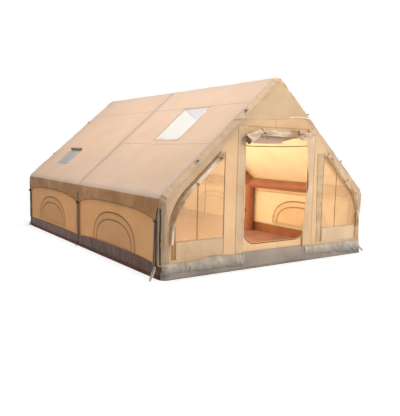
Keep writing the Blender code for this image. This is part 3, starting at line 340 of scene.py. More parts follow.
# A creased strip beside the right window, drawn darker than the canvas round it: partly painted shade
DARK_BINDING = cloth_look("window_shade_binding_cloth", "#D8BC97", "#C2A380", "#B08050", 0.06, crease=0.012,
                          drift=9.0)
# The corner strips: the canvas drawn darker, as painted shade of the corner
CORNER_SHADED_CANVAS = cloth_look("corner_painted_shade_canvas", "#CEB08E", "#B89876", "#8A6A50", 0.02, roughness=0.6,
                           crease=0.008)
# Beside each corner on the wall, a still darker strip: painted shade beside the strap
CORNER_SHADE_CLOTH = cloth_look("corner_wall_painted_shade", "#937D68", "#7C6854", "#6A5440", 0.02, roughness=0.7,
                          crease=0.008)


# Helpers for shapes

def spread(start, end, steps):
    return [start + (end - start) * step / steps for step in range(steps + 1)]


def noisy(x, y, z=0.0):
    return noise.noise(Vector((x, y, z)))


def clamp(value):
    return min(max(value, 0), 1)


def bell(gap, width):
    """1 where the gap is 0, falling off to both sides within about this width."""
    return 2.718 ** (-(gap / width) ** 2)


def smooth(share):
    """A soft start and a soft end between 0 and 1."""
    return share * share * (3 - 2 * share)


def cloth_uv(mesh):
    return mesh.loops.layers.uv.get("cloth") or mesh.loops.layers.uv.new("cloth")


def faces_round(verts):
    return {face for vert in verts for face in vert.link_faces}


def piece(name, mesh, looks, slot, body="tent", replaces=(), thickness=0.0, lining=0):
    """The mesh as one piece of the tent, with its finish, its body and the solids that it stands for."""
    data = bpy.data.meshes.new(name)
    mesh.to_mesh(data)
    mesh.free()
    data.shade_smooth()
    data.set_sharp_from_angle(angle=SHARP)
    made = bpy.data.objects.new(name, data)
    bpy.context.scene.collection.objects.link(made)
    for look in looks:
        data.materials.append(look)
    if thickness:
        solid = made.modifiers.new("thickness", "SOLIDIFY")
        solid.thickness = thickness
        solid.offset = -1
        solid.material_offset = lining
    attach(made, body)
    if replaces:
        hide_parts(*replaces)
    return made


def flat_sheet(outline, holes=(), step=STEP, seam=None):
    """A flat cloth of this outline, cut into cells no larger than step, and along one level line."""
    mesh = bmesh.new()
    for loop in (outline, *holes):
        verts = [mesh.verts.new((u, v, 0)) for u, v in loop]
        for first, second in zip(verts, verts[1:] + verts[:1]):
            mesh.edges.new((first, second))
    bmesh.ops.triangle_fill(mesh, use_beauty=True, use_dissolve=False, edges=mesh.edges[:], normal=(0, 0, 1))
    for axis in (0, 1):
        values = [point[axis] for point in outline]
        low, high = min(values), max(values)
        cuts = spread(low, high, max(1, ceil((high - low) / step)))[1:-1]
        for at in cuts + ([seam] if axis and seam is not None else []):
            spot, way = Vector((0, 0, 0)), Vector((0, 0, 0))
            spot[axis], way[axis] = at, 1
            everything = mesh.verts[:] + mesh.edges[:] + mesh.faces[:]
            bmesh.ops.bisect_plane(mesh, geom=everything, plane_co=spot, plane_no=way, dist=1e-6)
    for face in mesh.faces:
        if face.normal.z < 0:
            face.normal_flip()
    return mesh


def rectangle(near, far, low, high, out=0.0):
    """Corners of a rectangle of cloth, let out by this much all round."""
    near, far, low, high = near - out, far + out, low - out, high + out
    return [(near, low), (far, low), (far, high), (near, high)]


def grid(mesh, columns, rows):
    """Adds a flat grid and returns its verts with their places as shares from 0 to 1."""
    made = bmesh.ops.create_grid(mesh, x_segments=columns, y_segments=rows, size=0.5)
    return [(vert, vert.co.x + 0.5, vert.co.y + 0.5) for vert in made["verts"]]


def woven(mesh, columns, rows, place):
    """Adds a grid of cloth: place(along, across) gives each point, and where it lies on the flat cloth."""
    layer = cloth_uv(mesh)
    placed = {}
    for vert, along, across in grid(mesh, columns, rows):
        vert.co, placed[vert] = place(along, across)
    for face in faces_round(placed):
        for loop in face.loops:
            loop[layer].uv = placed[loop.vert]
    return list(placed)


def walked(points):
    """The length of the way along these points, at each of them."""
    lengths = [0.0]
    for first, second in zip(points, points[1:]):
        lengths.append(lengths[-1] + (second - first).length)
    return lengths


def lay(mesh, at):
    """Places a flat cloth's points by at(u, v, lift), keeps u and v as its UV, and faces it outwards."""
    layer = mesh.loops.layers.uv.new("cloth")
    mesh.faces.ensure_lookup_table()
    sample = mesh.faces[len(mesh.faces) // 2]
    u, v, _ = sample.calc_center_median()
    for face in mesh.faces:
        for loop in face.loops:
            loop[layer].uv = loop.vert.co.xy
    for vert in mesh.verts:
        vert.co = at(vert.co.x, vert.co.y, 0.0)
    mesh.normal_update()
    if sample.normal.dot(at(u, v, 0.01) - at(u, v, 0.0)) < 0:
        bmesh.ops.reverse_faces(mesh, faces=mesh.faces[:])
    return mesh


def tape(mesh, route, at, width):
    """Adds a tape of this width along a route of flat points on the surface that at places."""
    points = [Vector(point) for point in route]
    count = len(points) - 1
    lengths = walked(points)

    def place(along, across):
        k = round(along * count)
        way = (points[min(k + 1, count)] - points[max(k - 1, 0)]).normalized()
        side = (across - 0.5) * width
        spot = points[k] + Vector((-way.y, way.x)) * side
        edge = TAPE_EDGE_SHARE if across in (0.0, 1.0) else 1.0
        return at(spot.x, spot.y, TAPE_LIFT * edge), (lengths[k], side)

    faces = faces_round(woven(mesh, count, 2, place))
    middle = points[count // 2]
    root, above = (at(middle.x, middle.y, lift) for lift in (0, 0.01))
    face = min(faces, key=lambda f: (f.calc_center_median() - root).length)
    face.normal_update()
    if face.normal.dot(above - root) < 0:
        bmesh.ops.reverse_faces(mesh, faces=list(faces))


def route(points, step=STEP):
    """The polyline through these flat points with a point at least every step."""
    made = [Vector(points[0])]
    for first, second in zip(points, points[1:]):
        first, second = Vector(first), Vector(second)
        steps = max(1, ceil((second - first).length / step))
        made += [first.lerp(second, share) for share in spread(0, 1, steps)[1:]]
    return made


def seams(name, at, routes, look, slot, width=0.016, body="tent"):
    """Tapes sewn on one surface, as one piece: routes are lists of flat points, or (points, width)."""
    mesh = bmesh.new()
    for line in routes:
        points, wide = line if isinstance(line, tuple) and isinstance(line[1], float) else (line, width)
        tape(mesh, route(points), at, wide)
    return piece(name, mesh, [look], slot, body, thickness=TAPE)


def four_sides(corners):
    return [[corners[k], corners[(k + 1) % 4]] for k in range(4)]


def frames(path, up):
    """Tangent and two side vectors at each point of a path, carried along without twist."""
    path = [Vector(point) for point in path]
    made = []
    across = Vector(up)
    for k, point in enumerate(path):
        way = (path[min(k + 1, len(path) - 1)] - path[max(k - 1, 0)]).normalized()
        across = (across - way * across.dot(way)).normalized()
        made.append((point, way, across, way.cross(across)))
    return made


def tube(mesh, path, radius, sides=12, up=(0, 0, 1)):
    """Adds a closed tube; radius(share along, angle) or one value."""
    stations = frames(path, up)
    count = len(stations) - 1
    lengths = walked([station[0] for station in stations])

    def place(along, round_share):
        k = round(along * count)
        point, _, first, second = stations[k]
        angle = FULL_TURN * round_share
        size = radius(along, angle % FULL_TURN if round_share < 1 else 0.0) if callable(radius) else radius
        spot = point + (first * cos(angle) + second * sin(angle)) * size
        return spot, (lengths[k], round_share * FULL_TURN * (size or 0.01))

    bmesh.ops.remove_doubles(mesh, verts=woven(mesh, count, sides, place), dist=1e-6)
    rim = [edge for edge in mesh.edges if edge.is_boundary]
    bmesh.ops.holes_fill(mesh, edges=rim, sides=sides + 1)
    bmesh.ops.recalc_face_normals(mesh, faces=mesh.faces[:])


def turned(mesh, profile, matrix, steps):
    """Adds a solid turned about the matrix's z axis from a profile of (radius, height)."""
    verts = [mesh.verts.new((radius, 0, height)) for radius, height in profile]
    edges = [mesh.edges.new(pair) for pair in zip(verts, verts[1:])]
    before = set(mesh.verts) - set(verts)
    bmesh.ops.spin(mesh, geom=verts + edges, axis=(0, 0, 1), cent=(0, 0, 0), steps=steps, angle=FULL_TURN)
    made = [vert for vert in mesh.verts if vert not in before]
    bmesh.ops.remove_doubles(mesh, verts=made, dist=1e-6)
    made = [vert for vert in mesh.verts if vert not in before]
    bmesh.ops.transform(mesh, matrix=matrix, verts=made)
    bmesh.ops.recalc_face_normals(mesh, faces=mesh.faces[:])


def arc_corners(corners, radius, steps):
    """A polyline with round corners, as pairs of point and normal on its right."""
    corners = [Vector(corner) for corner in corners]
    ways = [(after - before).normalized() for before, after in zip(corners, corners[1:])]
    path = [(corners[0], Vector((ways[0].y, -ways[0].x)))]
    for corner, before, after in zip(corners[1:], ways, ways[1:]):
        turn = atan2(before.x * after.y - before.y * after.x, before.dot(after))
        start = corner - before * radius * tan(abs(turn) / 2)
        bulge = radius if turn > 0 else -radius
        centre = start - Vector((before.y, -before.x)) * bulge
        first = atan2(-before.x, before.y)
        for angle in spread(first, first + turn, steps):
            normal = Vector((cos(angle), sin(angle)))
            path.append((centre + normal * bulge, normal))
    path.append((corners[-1], Vector((ways[-1].y, -ways[-1].x))))
    return path


def box_uv(mesh):
    """UV in metres from the side that each face looks to."""
    layer = cloth_uv(mesh)
    mesh.normal_update()
    for face in mesh.faces:
        way = [abs(c) for c in face.normal]
        axis = way.index(max(way))
        for loop in face.loops:
            loop[layer].uv = [c for k, c in enumerate(loop.vert.co) if k != axis]


def hard_piece(name, mesh, look, slot="dark_plastic", body="tent", replaces=()):
    box_uv(mesh)
    return piece(name, mesh, [look], slot, body, replaces)


def strip(name, at, inner, outer, low, high, look, slot, columns, rows):
    """A strip of cloth on one surface, from inner(v) to outer(v) across and from low to high."""
    mesh = bmesh.new()
    for vert, up, across in grid(mesh, rows, columns):
        v = low + (high - low) * up
        vert.co = (inner(v) + (outer(v) - inner(v)) * across, v, 0)
    piece(name, lay(mesh, at), [look], slot, thickness=TRIM)


def roll(name, centre, radius, span, turns, look, slot, replaces, twist, lump=0.003, columns=80, groove=0.0,
         fine=20, stir=14.0):
    """A sheet wound into a loose roll along a line.

    centre(share) and radius(share) shape it, twist and lump its folds, and groove is the depth of sharp creases.
    """
    stations = frames([centre(share) for share in spread(0, 1, columns)], (0, 1, 0))

    def place(along, wound):
        point, _, back, up = stations[round(along * columns)]
        far, angle = along * span, wound * turns * FULL_TURN
        size = radius(along)
        pleat = sin(2 * angle + far * twist) + 0.5 * sin(5 * angle - far * twist * 1.7)
        uneven = 1.4 * noisy(far * stir, cos(angle) * 1.3, sin(angle) * 1.3 + twist)
        reach = size * (1 - 0.82 * wound) + lump * (1 - wound) * (uneven + 0.5 * pleat)
        if groove:
            wander = noisy(far * 2.2, cos(angle) * 0.9 + 3, sin(angle) * 0.9)
            spiral = 0.5 + 0.5 * sin(2 * angle + far * 9 + 4 * noisy(far * 1.7, 5))
            reach -= groove * (1 - wound) * (0.7 * max(1 - abs(wander) / 0.07, 0) + spiral ** 5)
        return point + back * (reach * cos(angle)) - up * (reach * sin(angle)), (far, angle * size * 0.6)

    mesh = bmesh.new()
    woven(mesh, columns, round(turns * fine), place)
    return piece(name, mesh, [look], slot, replaces=replaces, thickness=TRIM)


def band_round(mesh, centre, axis, radius, width):
    """Adds a tape loop round an axis."""
    stand = Matrix.Translation(centre) @ Vector(axis).to_track_quat("Z", "Y").to_matrix().to_4x4()

    def place(along, across):
        angle, side = FULL_TURN * along, (across - 0.5) * width
        bulge = radius + 0.0012 * noisy(cos(angle) * 2, sin(angle) * 2, centre[0] * 9)
        return stand @ Vector((bulge * cos(angle), bulge * sin(angle), side)), (angle * radius, side)

    woven(mesh, 40, 3, place)
    bmesh.ops.recalc_face_normals(mesh, faces=mesh.faces[:])


def bead(mesh, centre, axis, length, radius):
    """Adds a barrel toggle."""
    axis = Vector(axis).normalized()
    path = [Vector(centre) + axis * (length * (share - 0.5)) for share in spread(0, 1, 12)]

    def size(share, angle):
        return radius * (1 - (2 * share - 1) ** 6) ** 0.5 * (0.86 + 0.14 * cos(FULL_TURN * share)) + 1e-5

    tube(mesh, path, size, 14, (0.3, 0.2, 0.9))


def tail(mesh, top, length, width, lean):
    """Adds a tape end that hangs from a point."""
    def place(down, across):
        turn, side = lean * 9 + 1.8 * down, (across - 0.5) * width
        spot = Vector(top) + Vector((lean * down + side * cos(turn), -0.012 * sin(3 * down) + side * sin(turn),
                                     -length * down))
        return spot, (down * length, side)

    woven(mesh, 12, 2, place)


# Surfaces of the tent: a flat point becomes a point on the cloth

def raised(surface, way, by=0.0):
    """One side of the tent as at(u, v, lift), held off its cloth by this much."""
    return lambda u, v, lift=0.0: surface(way, u, v, by + lift)


def valance_hem(y):
    """Height of the valance's lower edge: a flat arch over each bay, lowest at the columns."""
    bay = BAYS["rear"] if y > MIDDLE_Y else BAYS["front"]
    share = min(abs(y - bay) / (ARCH_SPACING / 2), 1)
    return VALANCE_CROWN - VALANCE_DROP * share ** VALANCE_POWER


def valance_edge(y):
    """The same edge as a flat place on the roof's cloth."""
    return -EAVE_ARC - COLUMN_TOP + valance_hem(y)


def bay_share(y):
    return (y - FRONT_Y) / ARCH_SPACING % 1.0


def pinned(y):
    """0 at a column, where straps hold the cloth, and 1 away from it."""
    near = min(abs(y - column) for column in ARCHES.values())
    return 1 - bell(near, 0.16)


def roof_relief(side, y, s):
    """How far the roof cloth stands out: slight sag in each bay, soft pulls, and folds in the valance."""
    up = clamp(s / RAFTER)
    inside = FRONT_Y < y < REAR_Y
    sag = -0.012 * sin(HALF_TURN * bay_share(y)) ** 2 * sin(HALF_TURN * up) ** 2 if inside else 0
    pulls = 0.0035 * noisy(y * 1.1, s * 3.1, side * 7) + 0.0018 * noisy(y * 4.3 + s * 2.0, s * 6.0, side * 3)
    eave = bell(s + 0.02, 0.10)
    pulls += eave * (0.0030 * noisy(y * 17, s * 9, side) + 0.0018 * noisy(y * 36, s * 20, side))
    drop = max(-s - EAVE_ARC, 0) / 0.16
    folds = 0.0
    if drop:
        free = pinned(y)
        wave = sin(y * 24 + 2.5 * noisy(y * 2.2, side)) + 0.8 * noisy(y * 9, drop, side)
        folds = drop * free * (0.008 + 0.0045 * wave)
        pulls *= 0.6
    room = clamp(min(s, RAFTER - s) / 0.25)
    return max(sag + pulls, -0.003 - 0.017 * room) + folds


def roof_point(side, y, s, lift=0.0):
    """A point on the roof's outer face: s runs up the slope from the eave, over the ridge or down the valance."""
    radius = ROOF_RADIUS + roof_relief(side, y, s) + lift
    if s > RAFTER:
        angle = SLOPE - (s - RAFTER) / ROOF_RADIUS
        x, z = radius * sin(angle), ARCH_TOP + radius * cos(angle)
    elif s >= 0:
        x = COLUMN_X - s * cos(SLOPE) + radius * sin(SLOPE)
        z = COLUMN_TOP + s * sin(SLOPE) + radius * cos(SLOPE)
    else:
        angle = min(SLOPE - s / ROOF_RADIUS, QUARTER)
        x = COLUMN_X + radius * sin(angle)
        z = COLUMN_TOP + radius * cos(angle) - max(-s - EAVE_ARC, 0)
    return Vector((side * x, y, z))


def wall_relief(side, y, z):
    up = clamp((z - TRAY_HEIGHT) / (0.85 - TRAY_HEIGHT))
    sag = -0.009 * sin(HALF_TURN * bay_share(y)) ** 2 * sin(HALF_TURN * up) ** 1.5
    pulls = 0.0022 * noisy(y * 2.4, z * 2.4, side * 5) + 0.0012 * noisy(y * 7 + z * 5, z * 5, side)
    return sag + min(pulls * sin(HALF_TURN * up), 0.0012)


def wall_point(side, y, z, lift=0.0):
    return Vector((side * (HALF_WIDTH + wall_relief(side, y, z) + lift), y, z))


ARCH_LINE = [Vector((COLUMN_X, 0.0)), Vector((COLUMN_X, COLUMN_TOP)), Vector((0.0, ARCH_TOP)),
             Vector((-COLUMN_X, COLUMN_TOP)), Vector((-COLUMN_X, 0.0))]


def beyond_arch(x, z):
    """How far a gable point lies outside the arch's centre line, the nearest point on it, and the way out."""
    spot = Vector((x, z))
    best = None
    for first, second in zip(ARCH_LINE, ARCH_LINE[1:]):
        line = second - first
        share = clamp((spot - first).dot(line) / line.length_squared)
        near = first + line * share
        gap = (spot - near).length
        if best is None or gap < best[0] - 1e-9:
            best = (gap, near, Vector((line.y, -line.x)).normalized())
    gap, near, out = best
    if gap < 1e-7:
        return 0.0, near, out
    way = (spot - near) / gap
    return (gap, near, way) if way.dot(out) > 0 else (-gap, near, out)


def gable_relief(way, x, z, out):
    """Soft sag of the gable panel between the arch and the door, and pulls across the band along the arch."""
    inner = clamp(-out / 0.5)
    sag = -0.006 * smooth(inner)
    pulls = 0.0016 * noisy(x * 2.6, z * 2.6, way * 3) + 0.0012 * noisy(x * 9 + z * 4, z * 3, way)
    band = bell(out - 0.02, 0.13)
    along = x * cos(SLOPE) + z * sin(SLOPE) if x < 0 else -x * cos(SLOPE) + z * sin(SLOPE)
    pulls += band * (0.0036 * noisy(along * 9, out * 3, way) + 0.0030 * noisy(along * 23, out * 6, way) + 0.0015)
    return sag + min(max(pulls, -0.0016), 0.007)


def gable_point(way, x, z, lift=0.0):
    """A point on the outer face of an end: flat inside the arch, and turned round its tube outside it."""
    out, near, normal = beyond_arch(x, z)
    reach = COVER_RADIUS + gable_relief(way, x, z, out) + lift
    arch_y = FRONT_Y if way < 0 else REAR_Y
    if out <= 0:
        return Vector((x, arch_y + way * reach, z))
    angle = min(out / COVER_RADIUS, QUARTER)
    flat = near + normal * reach * sin(angle)
    past = max(out - COVER_ARC, 0)
    return Vector((flat.x, arch_y + way * (reach * cos(angle) - past), flat.y))


def front_point(x, z, lift=0.0):
    return gable_point(-1, x, z, lift)


# Stage, camera and light

def seen_rays(tree):
    """1 for what the camera sees, straight or in a glossy or clear surface."""
    rays = node(tree, "LightPath")
    sharp = node(tree, "Math", {"operation": "MAXIMUM"}, _0=rays.outputs["Is Glossy Ray"],
                 _1=rays.outputs["Is Transmission Ray"])
    both = node(tree, "Math", {"operation": "MAXIMUM"}, _0=rays.outputs["Is Camera Ray"], _1=sharp.outputs[0])
    return both.outputs[0]


def stage_set():
    mesh = bmesh.new()
    bmesh.ops.create_grid(mesh, x_segments=1, y_segments=1, size=60)
    data = bpy.data.meshes.new("floor")
    mesh.to_mesh(data)
    mesh.free()
    floor = bpy.data.objects.new("floor", data)
    floor.location = (0, 0, -0.001)
    bpy.context.scene.collection.objects.link(floor)
    material, tree = blank("floor_matt")
    plain = node(tree, "BsdfDiffuse", Color=(0.80, 0.80, 0.80, 1))
    lit = node(tree, "BsdfDiffuse", Color=(0.45, 0.45, 0.45, 1))
    pale = node(tree, "Emission", Color=(1, 1, 1, 1), Strength=0.68)
    white = node(tree, "Emission", Color=(1, 1, 1, 1), Strength=1.0)
    near = node(tree, "AddShader", _0=lit.outputs[0], _1=pale.outputs[0])
    place = node(tree, "TexCoord").outputs["Object"]
    gap = node(tree, "VectorMath", {"operation": "LENGTH"}, _0=place).outputs["Value"]
    fade = node(tree, "MapRange", Value=gap, From_Min=4.0, From_Max=7.0).outputs[0]
    shown = node(tree, "MixShader", Fac=fade, _1=near.outputs[0], _2=white.outputs[0])
    mixed = node(tree, "MixShader", Fac=seen_rays(tree), _1=plain.outputs[0], _2=shown.outputs[0])
    close(tree, mixed.outputs[0])
    data.materials.append(material)

    world = bpy.data.worlds.new("studio")
    bpy.context.scene.world = world
    world.use_nodes = True
    tree = world.node_tree
    tree.nodes.clear()
    seen = seen_rays(tree)
    light = node(tree, "Background", Color=(1, 1, 1, 1), Strength=0.18)
    white = node(tree, "Background", Color=(1, 1, 1, 1), Strength=1.0)
    mixed = node(tree, "MixShader", Fac=seen, _1=light.outputs[0], _2=white.outputs[0])
    node(tree, "OutputWorld", Surface=mixed.outputs[0])


def area_light(name, spot, aim, size, power):
    data = bpy.data.lights.new(name, "AREA")
    data.shape = "DISK"
    data.size = size
    data.energy = power
    lamp = bpy.data.objects.new(name, data)
    lamp.location = spot
    lamp.rotation_mode = "QUATERNION"
    lamp.rotation_quaternion = (Vector(aim) - Vector(spot)).to_track_quat("-Z", "Y")
    bpy.context.scene.collection.objects.link(lamp)
    lamp.visible_camera = False


def lights():
    area_light("top_key", (-1.5, -1.0, 10.0), (-0.5, 0, 1), 6.0, 800)
    area_light("front_fill", (4.0, -12.0, 5.0), (0, -2.5, 1), 5.0, 760)
    area_light("right_fill", (9.0, 1.0, 7.0), (1.0, 0, 1.5), 5.0, 520)
    for number, y in enumerate((-1.9, -0.65, 0.6, 1.85)):
        data = bpy.data.lights.new(f"inside_{number}", "POINT")
        data.shadow_soft_size = 0.35
        data.energy = 48
        data.color = (0.93, 1.0, 0.92)
        lamp = bpy.data.objects.new(f"inside_{number}", data)
        lamp.location = (0, y, 0.95)
        lamp.visible_camera = False
        bpy.context.scene.collection.objects.link(lamp)


def camera():
    yaw, pitch, roll = radians(34.661), radians(-6.464), radians(1.118)
    forward = Vector((sin(yaw) * cos(pitch), cos(yaw) * cos(pitch), sin(pitch)))
    level = Vector((cos(yaw), -sin(yaw), 0))
    above = level.cross(forward)
    right = level * cos(roll) + above * sin(roll)
    down = level * sin(roll) - above * cos(roll)
    data = bpy.data.cameras.new("camera")
    data.lens = 45.049
    data.sensor_width = 36
    made = bpy.data.objects.new("camera", data)
    axes = Matrix((right, -down, -forward)).transposed().to_4x4()
    made.matrix_world = Matrix.Translation((-4.861, -7.751, 1.565)) @ axes
    bpy.context.scene.collection.objects.link(made)
    bpy.context.scene.camera = made


# Pieces of the tent

def roof_outline():
    near, far = FRONT_Y - ROOF_LAP, REAR_Y + ROOF_LAP
    top = RAFTER + RIDGE_ARC - 0.0004
    hem = [near]
    for bay_start in (FRONT_Y, MIDDLE_Y):
        hem += [bay_start + ARCH_SPACING * share for share in spread(0, 1, 40)]
    lower = [(y, valance_edge(y)) for y in [*hem, far]]
    lower = [point for k, point in enumerate(lower) if not k or point[0] - lower[k - 1][0] > 1e-4]
    return lower + [(far, top), (near, top)]


def roofs():
    opening = (SKYLIGHT_NEAR, SKYLIGHT_FAR, SKYLIGHT_LOW, SKYLIGHT_HIGH)
    outline = roof_outline()
    for label, side in SIDES.items():
        at = raised(roof_point, side)
        mesh = flat_sheet(outline, [rectangle(*opening)], CELL, VALANCE_SEAM)
        # Faces below the valance seam take the darker valance canvas: painted shade
        for face in mesh.faces:
            face.material_index = 1 if face.calc_center_median().y < VALANCE_SEAM else 0
        roof = piece(f"{label}_roof_cloth", lay(mesh, at), [ROOF_CANVAS, VALANCE_SHADED_CANVAS, LINING, LINING],
                     "canvas_roof", replaces=[f"{label}_roof"], thickness=CLOTH, lining=2)

        near, far, upper, lower = FRONT_Y - 0.002, REAR_Y + 0.002, 1.778, 0.945
        cross = [[(near, upper), (far, upper)], [(near, lower), (MIDDLE_Y - 0.03, lower)]]
        seams(f"{label}_roof_seams", at, cross, ROOF_TAPE, "canvas_roof", 0.012)
        hem = [(y, s + 0.006) for y, s in outline[:-2]]
        seams(f"{label}_valance_hem", at, [hem], VALANCE_TAPE, "canvas_roof", 0.013)
        patch = [(MIDDLE_Y, VALANCE_SEAM), (MIDDLE_Y, 0.010 + valance_edge(MIDDLE_Y))]
        seams(f"{label}_valance_patch", at, [patch], COLUMN_TAPE, "canvas_roof", 0.070)
        # Two seams over the middle arch, drawn darker than the other roof tapes: partly painted shade along the
        # arch
        welts = [[(MIDDLE_Y + gap, -EAVE_ARC * 0.5), (MIDDLE_Y + gap, RAFTER)] for gap in (-0.034, 0.034)]
        seams(f"{label}_roof_welts", at, welts, WELT_SHADED_TAPE, "canvas_roof", 0.016)
        bound = four_sides(rectangle(*opening, 0.008))
        seams(f"{label}_skylight_binding", at, bound, ROOF_TAPE, "canvas_roof", 0.018)
        skylight(label, side)


def skylight(label, side):
    """Clear film in the slope, a white blind under it, and the blind's near upper corner folded back."""
    inset, lap, cell = 0.0005, 0.01, 0.05
    near, far = SKYLIGHT_NEAR + inset, SKYLIGHT_FAR - inset
    low, high = SKYLIGHT_LOW + inset, SKYLIGHT_HIGH - inset
    mesh = lay(flat_sheet(rectangle(near, far, low, high), step=cell), raised(roof_point, side, -0.0004))
    film = piece(f"{label}_skylight_film", mesh, [CLEAR_VINYL], "clear_film", replaces=[f"{label}_skylight"],
                 thickness=0.001)

    def hung(y, s, lift=0.0):
        return roof_point(side, y, s, lift - 0.006 - 0.006 * sin(HALF_TURN * (y - near) / (far - near)) ** 2)

    mesh = lay(flat_sheet(rectangle(near, far, low, high, lap), step=cell), hung)
    # The blind's inner face is drawn a darker pinkish grey: painted shade
    blind = piece(f"{label}_skylight_blind", mesh, [BLIND, BLIND_SHADED_LINING], "clear_film", thickness=NET_THREAD,
                  lining=1)
    corner = [(near + 0.006, high - 0.004), (far - 0.012, high - 0.004), (near + 0.006, high - 0.285)]
    mesh = lay(flat_sheet(corner, step=cell), raised(roof_point, side, -0.0035))
    fold = piece(f"{label}_skylight_blind_fold", mesh, [BLIND_BACK], "clear_film", thickness=NET_THREAD)


def window_outline(centre, grow):
    """A side window's arch, let out by grow."""
    half, rise = WINDOW_HALF + grow, WINDOW_RISE + grow
    outline = []
    for angle in spread(0, HALF_TURN, 36):
        across = abs(cos(angle)) ** (2 / WINDOW_POWER) * (1 if angle < QUARTER else -1)
        up = max(sin(angle), 0) ** (2 / WINDOW_POWER)
        outline.append((centre + half * across, WINDOW_SILL + rise * up))
    return outline


def side_walls():
    edge, inner, net_lap, net_foot = 0.008, -0.095, 0.02, 0.203
    holes, zips, inner_lines = ([window_outline(y, grow) for y in BAYS.values()] for grow in (0.0, edge, inner))
    for label, side in SIDES.items():
        at = raised(wall_point, side)
        mesh = lay(flat_sheet(rectangle(FRONT_Y, REAR_Y, WALL_FOOT, COLUMN_TOP), holes, CELL), at)
        wall = piece(f"{label}_wall_cloth", mesh, [WALL_CANVAS, LINING], "canvas_wall",
                     replaces=[f"{label}_wall"], thickness=CLOTH, lining=1)
        seams(f"{label}_window_zips", at, zips, ARCH_TAPE, "canvas_wall", 0.020)
        # A sewn band down the middle column, drawn in the valance's darker canvas: partly painted shade of the
        # column
        band = [(MIDDLE_Y, WALL_FOOT), (MIDDLE_Y, 0.92)]
        seams(f"{label}_column_band", at, [band], VALANCE_SHADED_CANVAS, "canvas_wall", 0.17)

        def inside(y, z, lift=0.0, side=side):
            return wall_point(side, y, z, -0.0030 - lift)

        seams(f"{label}_window_inner_tape", inside, zips + inner_lines, INNER_TAPE, "canvas_wall", 0.026)
        # Inside the wall just under the eave beam, a darker band: painted shadow of the beam
        under_beam = [(FRONT_Y + 0.09, 0.822), (REAR_Y - 0.09, 0.822)]
        seams(f"{label}_wall_beam_shadow_band", inside, [under_beam], BEAM_SHADOW_LINING, "canvas_wall", 0.085)
        for bay, centre in BAYS.items():
            name = f"{label}_{bay}_window"
            mesh = lay(flat_sheet(window_outline(centre, -0.001), (), CELL), at)
            flap = piece(f"{name}_flap_cloth", mesh, [FLAP_CANVAS, LINING], "canvas_wall", f"{name}_flap",
                         [f"{name}_flap"], CLOTH, 1)
            seams(f"{name}_flap_seam", at, [window_outline(centre, inner)], ARCH_TAPE, "canvas_wall", 0.018,
                  f"{name}_flap")
            half = WINDOW_HALF + net_lap
            net = window_outline(centre, net_lap) + [(centre - half, net_foot), (centre + half, net_foot)]
            mesh = lay(flat_sheet(net, (), 0.05), raised(wall_point, side, -0.0062))
            screen = piece(f"{name}_net", mesh, [WINDOW_NET], "mesh", replaces=[f"{name}_mesh"],
                           thickness=NET_THREAD)


def gable_base():
    right = [(COLUMN_X, WALL_FOOT), (COLUMN_X, COLUMN_TOP)]
    return right + [(0, ARCH_TOP)] + [(-x, z) for x, z in reversed(right)]


def door_outline():
    corners = [(DOOR_HALF, DOOR_HEAD), (DOOR_HALF, DOOR_SILL), (-DOOR_HALF, DOOR_SILL), (-DOOR_HALF, DOOR_HEAD)]
    return [tuple(point) for point, _ in arc_corners(corners, DOOR_CORNER, 10)]


def screen_outline(side, inset):
    inner, outer, sill = SCREEN_INNER + inset, SCREEN_OUTER - inset, SCREEN_SILL + inset
    corners = [(inner, SCREEN_HEAD - inset), (outer, SCREEN_SHOULDER - inset), (outer, sill)]
    bend = [tuple(point) for point, _ in arc_corners(corners, SCREEN_BEND, 12)]
    return [(side * x, z) for x, z in bend + [(inner, sill)]]


def arch_cover(end, way):
    """Cloth that turns round an end arch, lapped on the gable panel."""
    lap = 0.012
    stations = []
    for point, normal in arc_corners(gable_base(), 0, 8):
        if stations and (point - stations[-1][0]).length > 0.04:
            start, before = stations[-1]
            steps = ceil((point - start).length / 0.03)
            stations += [(start.lerp(point, share), before) for share in spread(0, 1, steps)[1:-1]]
        stations.append((point, normal))
    count = len(stations) - 1
    mesh = bmesh.new()
    for vert, along, across in grid(mesh, count, 10):
        point, normal = stations[round(along * count)]
        spot = point + normal * (-lap + (COVER_ARC - 0.001 + lap) * across)
        vert.co = (spot.x, spot.y, 0)
    lay(mesh, raised(gable_point, way, 0.0004))
    cover = piece(f"{end}_arch_band", mesh, [BAND_CANVAS], "canvas_band", replaces=[f"{end}_arch_cover"],
                  thickness=CLOTH)


def ends():
    openings = {"front": [door_outline(), screen_outline(-1, 0), screen_outline(1, 0)], "rear": []}
    for end, way in ENDS.items():
        mesh = lay(flat_sheet(gable_base(), openings[end], 0.036), raised(gable_point, way))
        panel = piece(f"{end}_gable_cloth", mesh, [GABLE_CANVAS, LINING], "canvas_gable",
                      replaces=[f"{end}_panel"], thickness=CLOTH, lining=1)
        arch_cover(end, way)


def screens():
    for label, side in SIDES.items():
        mesh = lay(flat_sheet(screen_outline(side, -0.012), (), 0.04), raised(gable_point, -1, -0.003))
        net = piece(f"{label}_window_net", mesh, [NET], "window_screen", replaces=[f"{label}_window_screen"],
                    thickness=NET_THREAD)


def tray_outline():
    outline = []
    corners = ((COLUMN_X, REAR_Y), (-COLUMN_X, REAR_Y), (-COLUMN_X, FRONT_Y), (COLUMN_X, FRONT_Y))
    for turn, (x, y) in enumerate(corners):
        for angle in [turn * QUARTER + step for step in spread(0, QUARTER, 6)]:
            outline.append((x + COVER_RADIUS * cos(angle), y + COVER_RADIUS * sin(angle)))
    return outline


def along_sides(outline, step):
    """The closed outline with points at least every step."""
    return [tuple(point) for point in route([*outline, outline[0]], step)[:-1]]


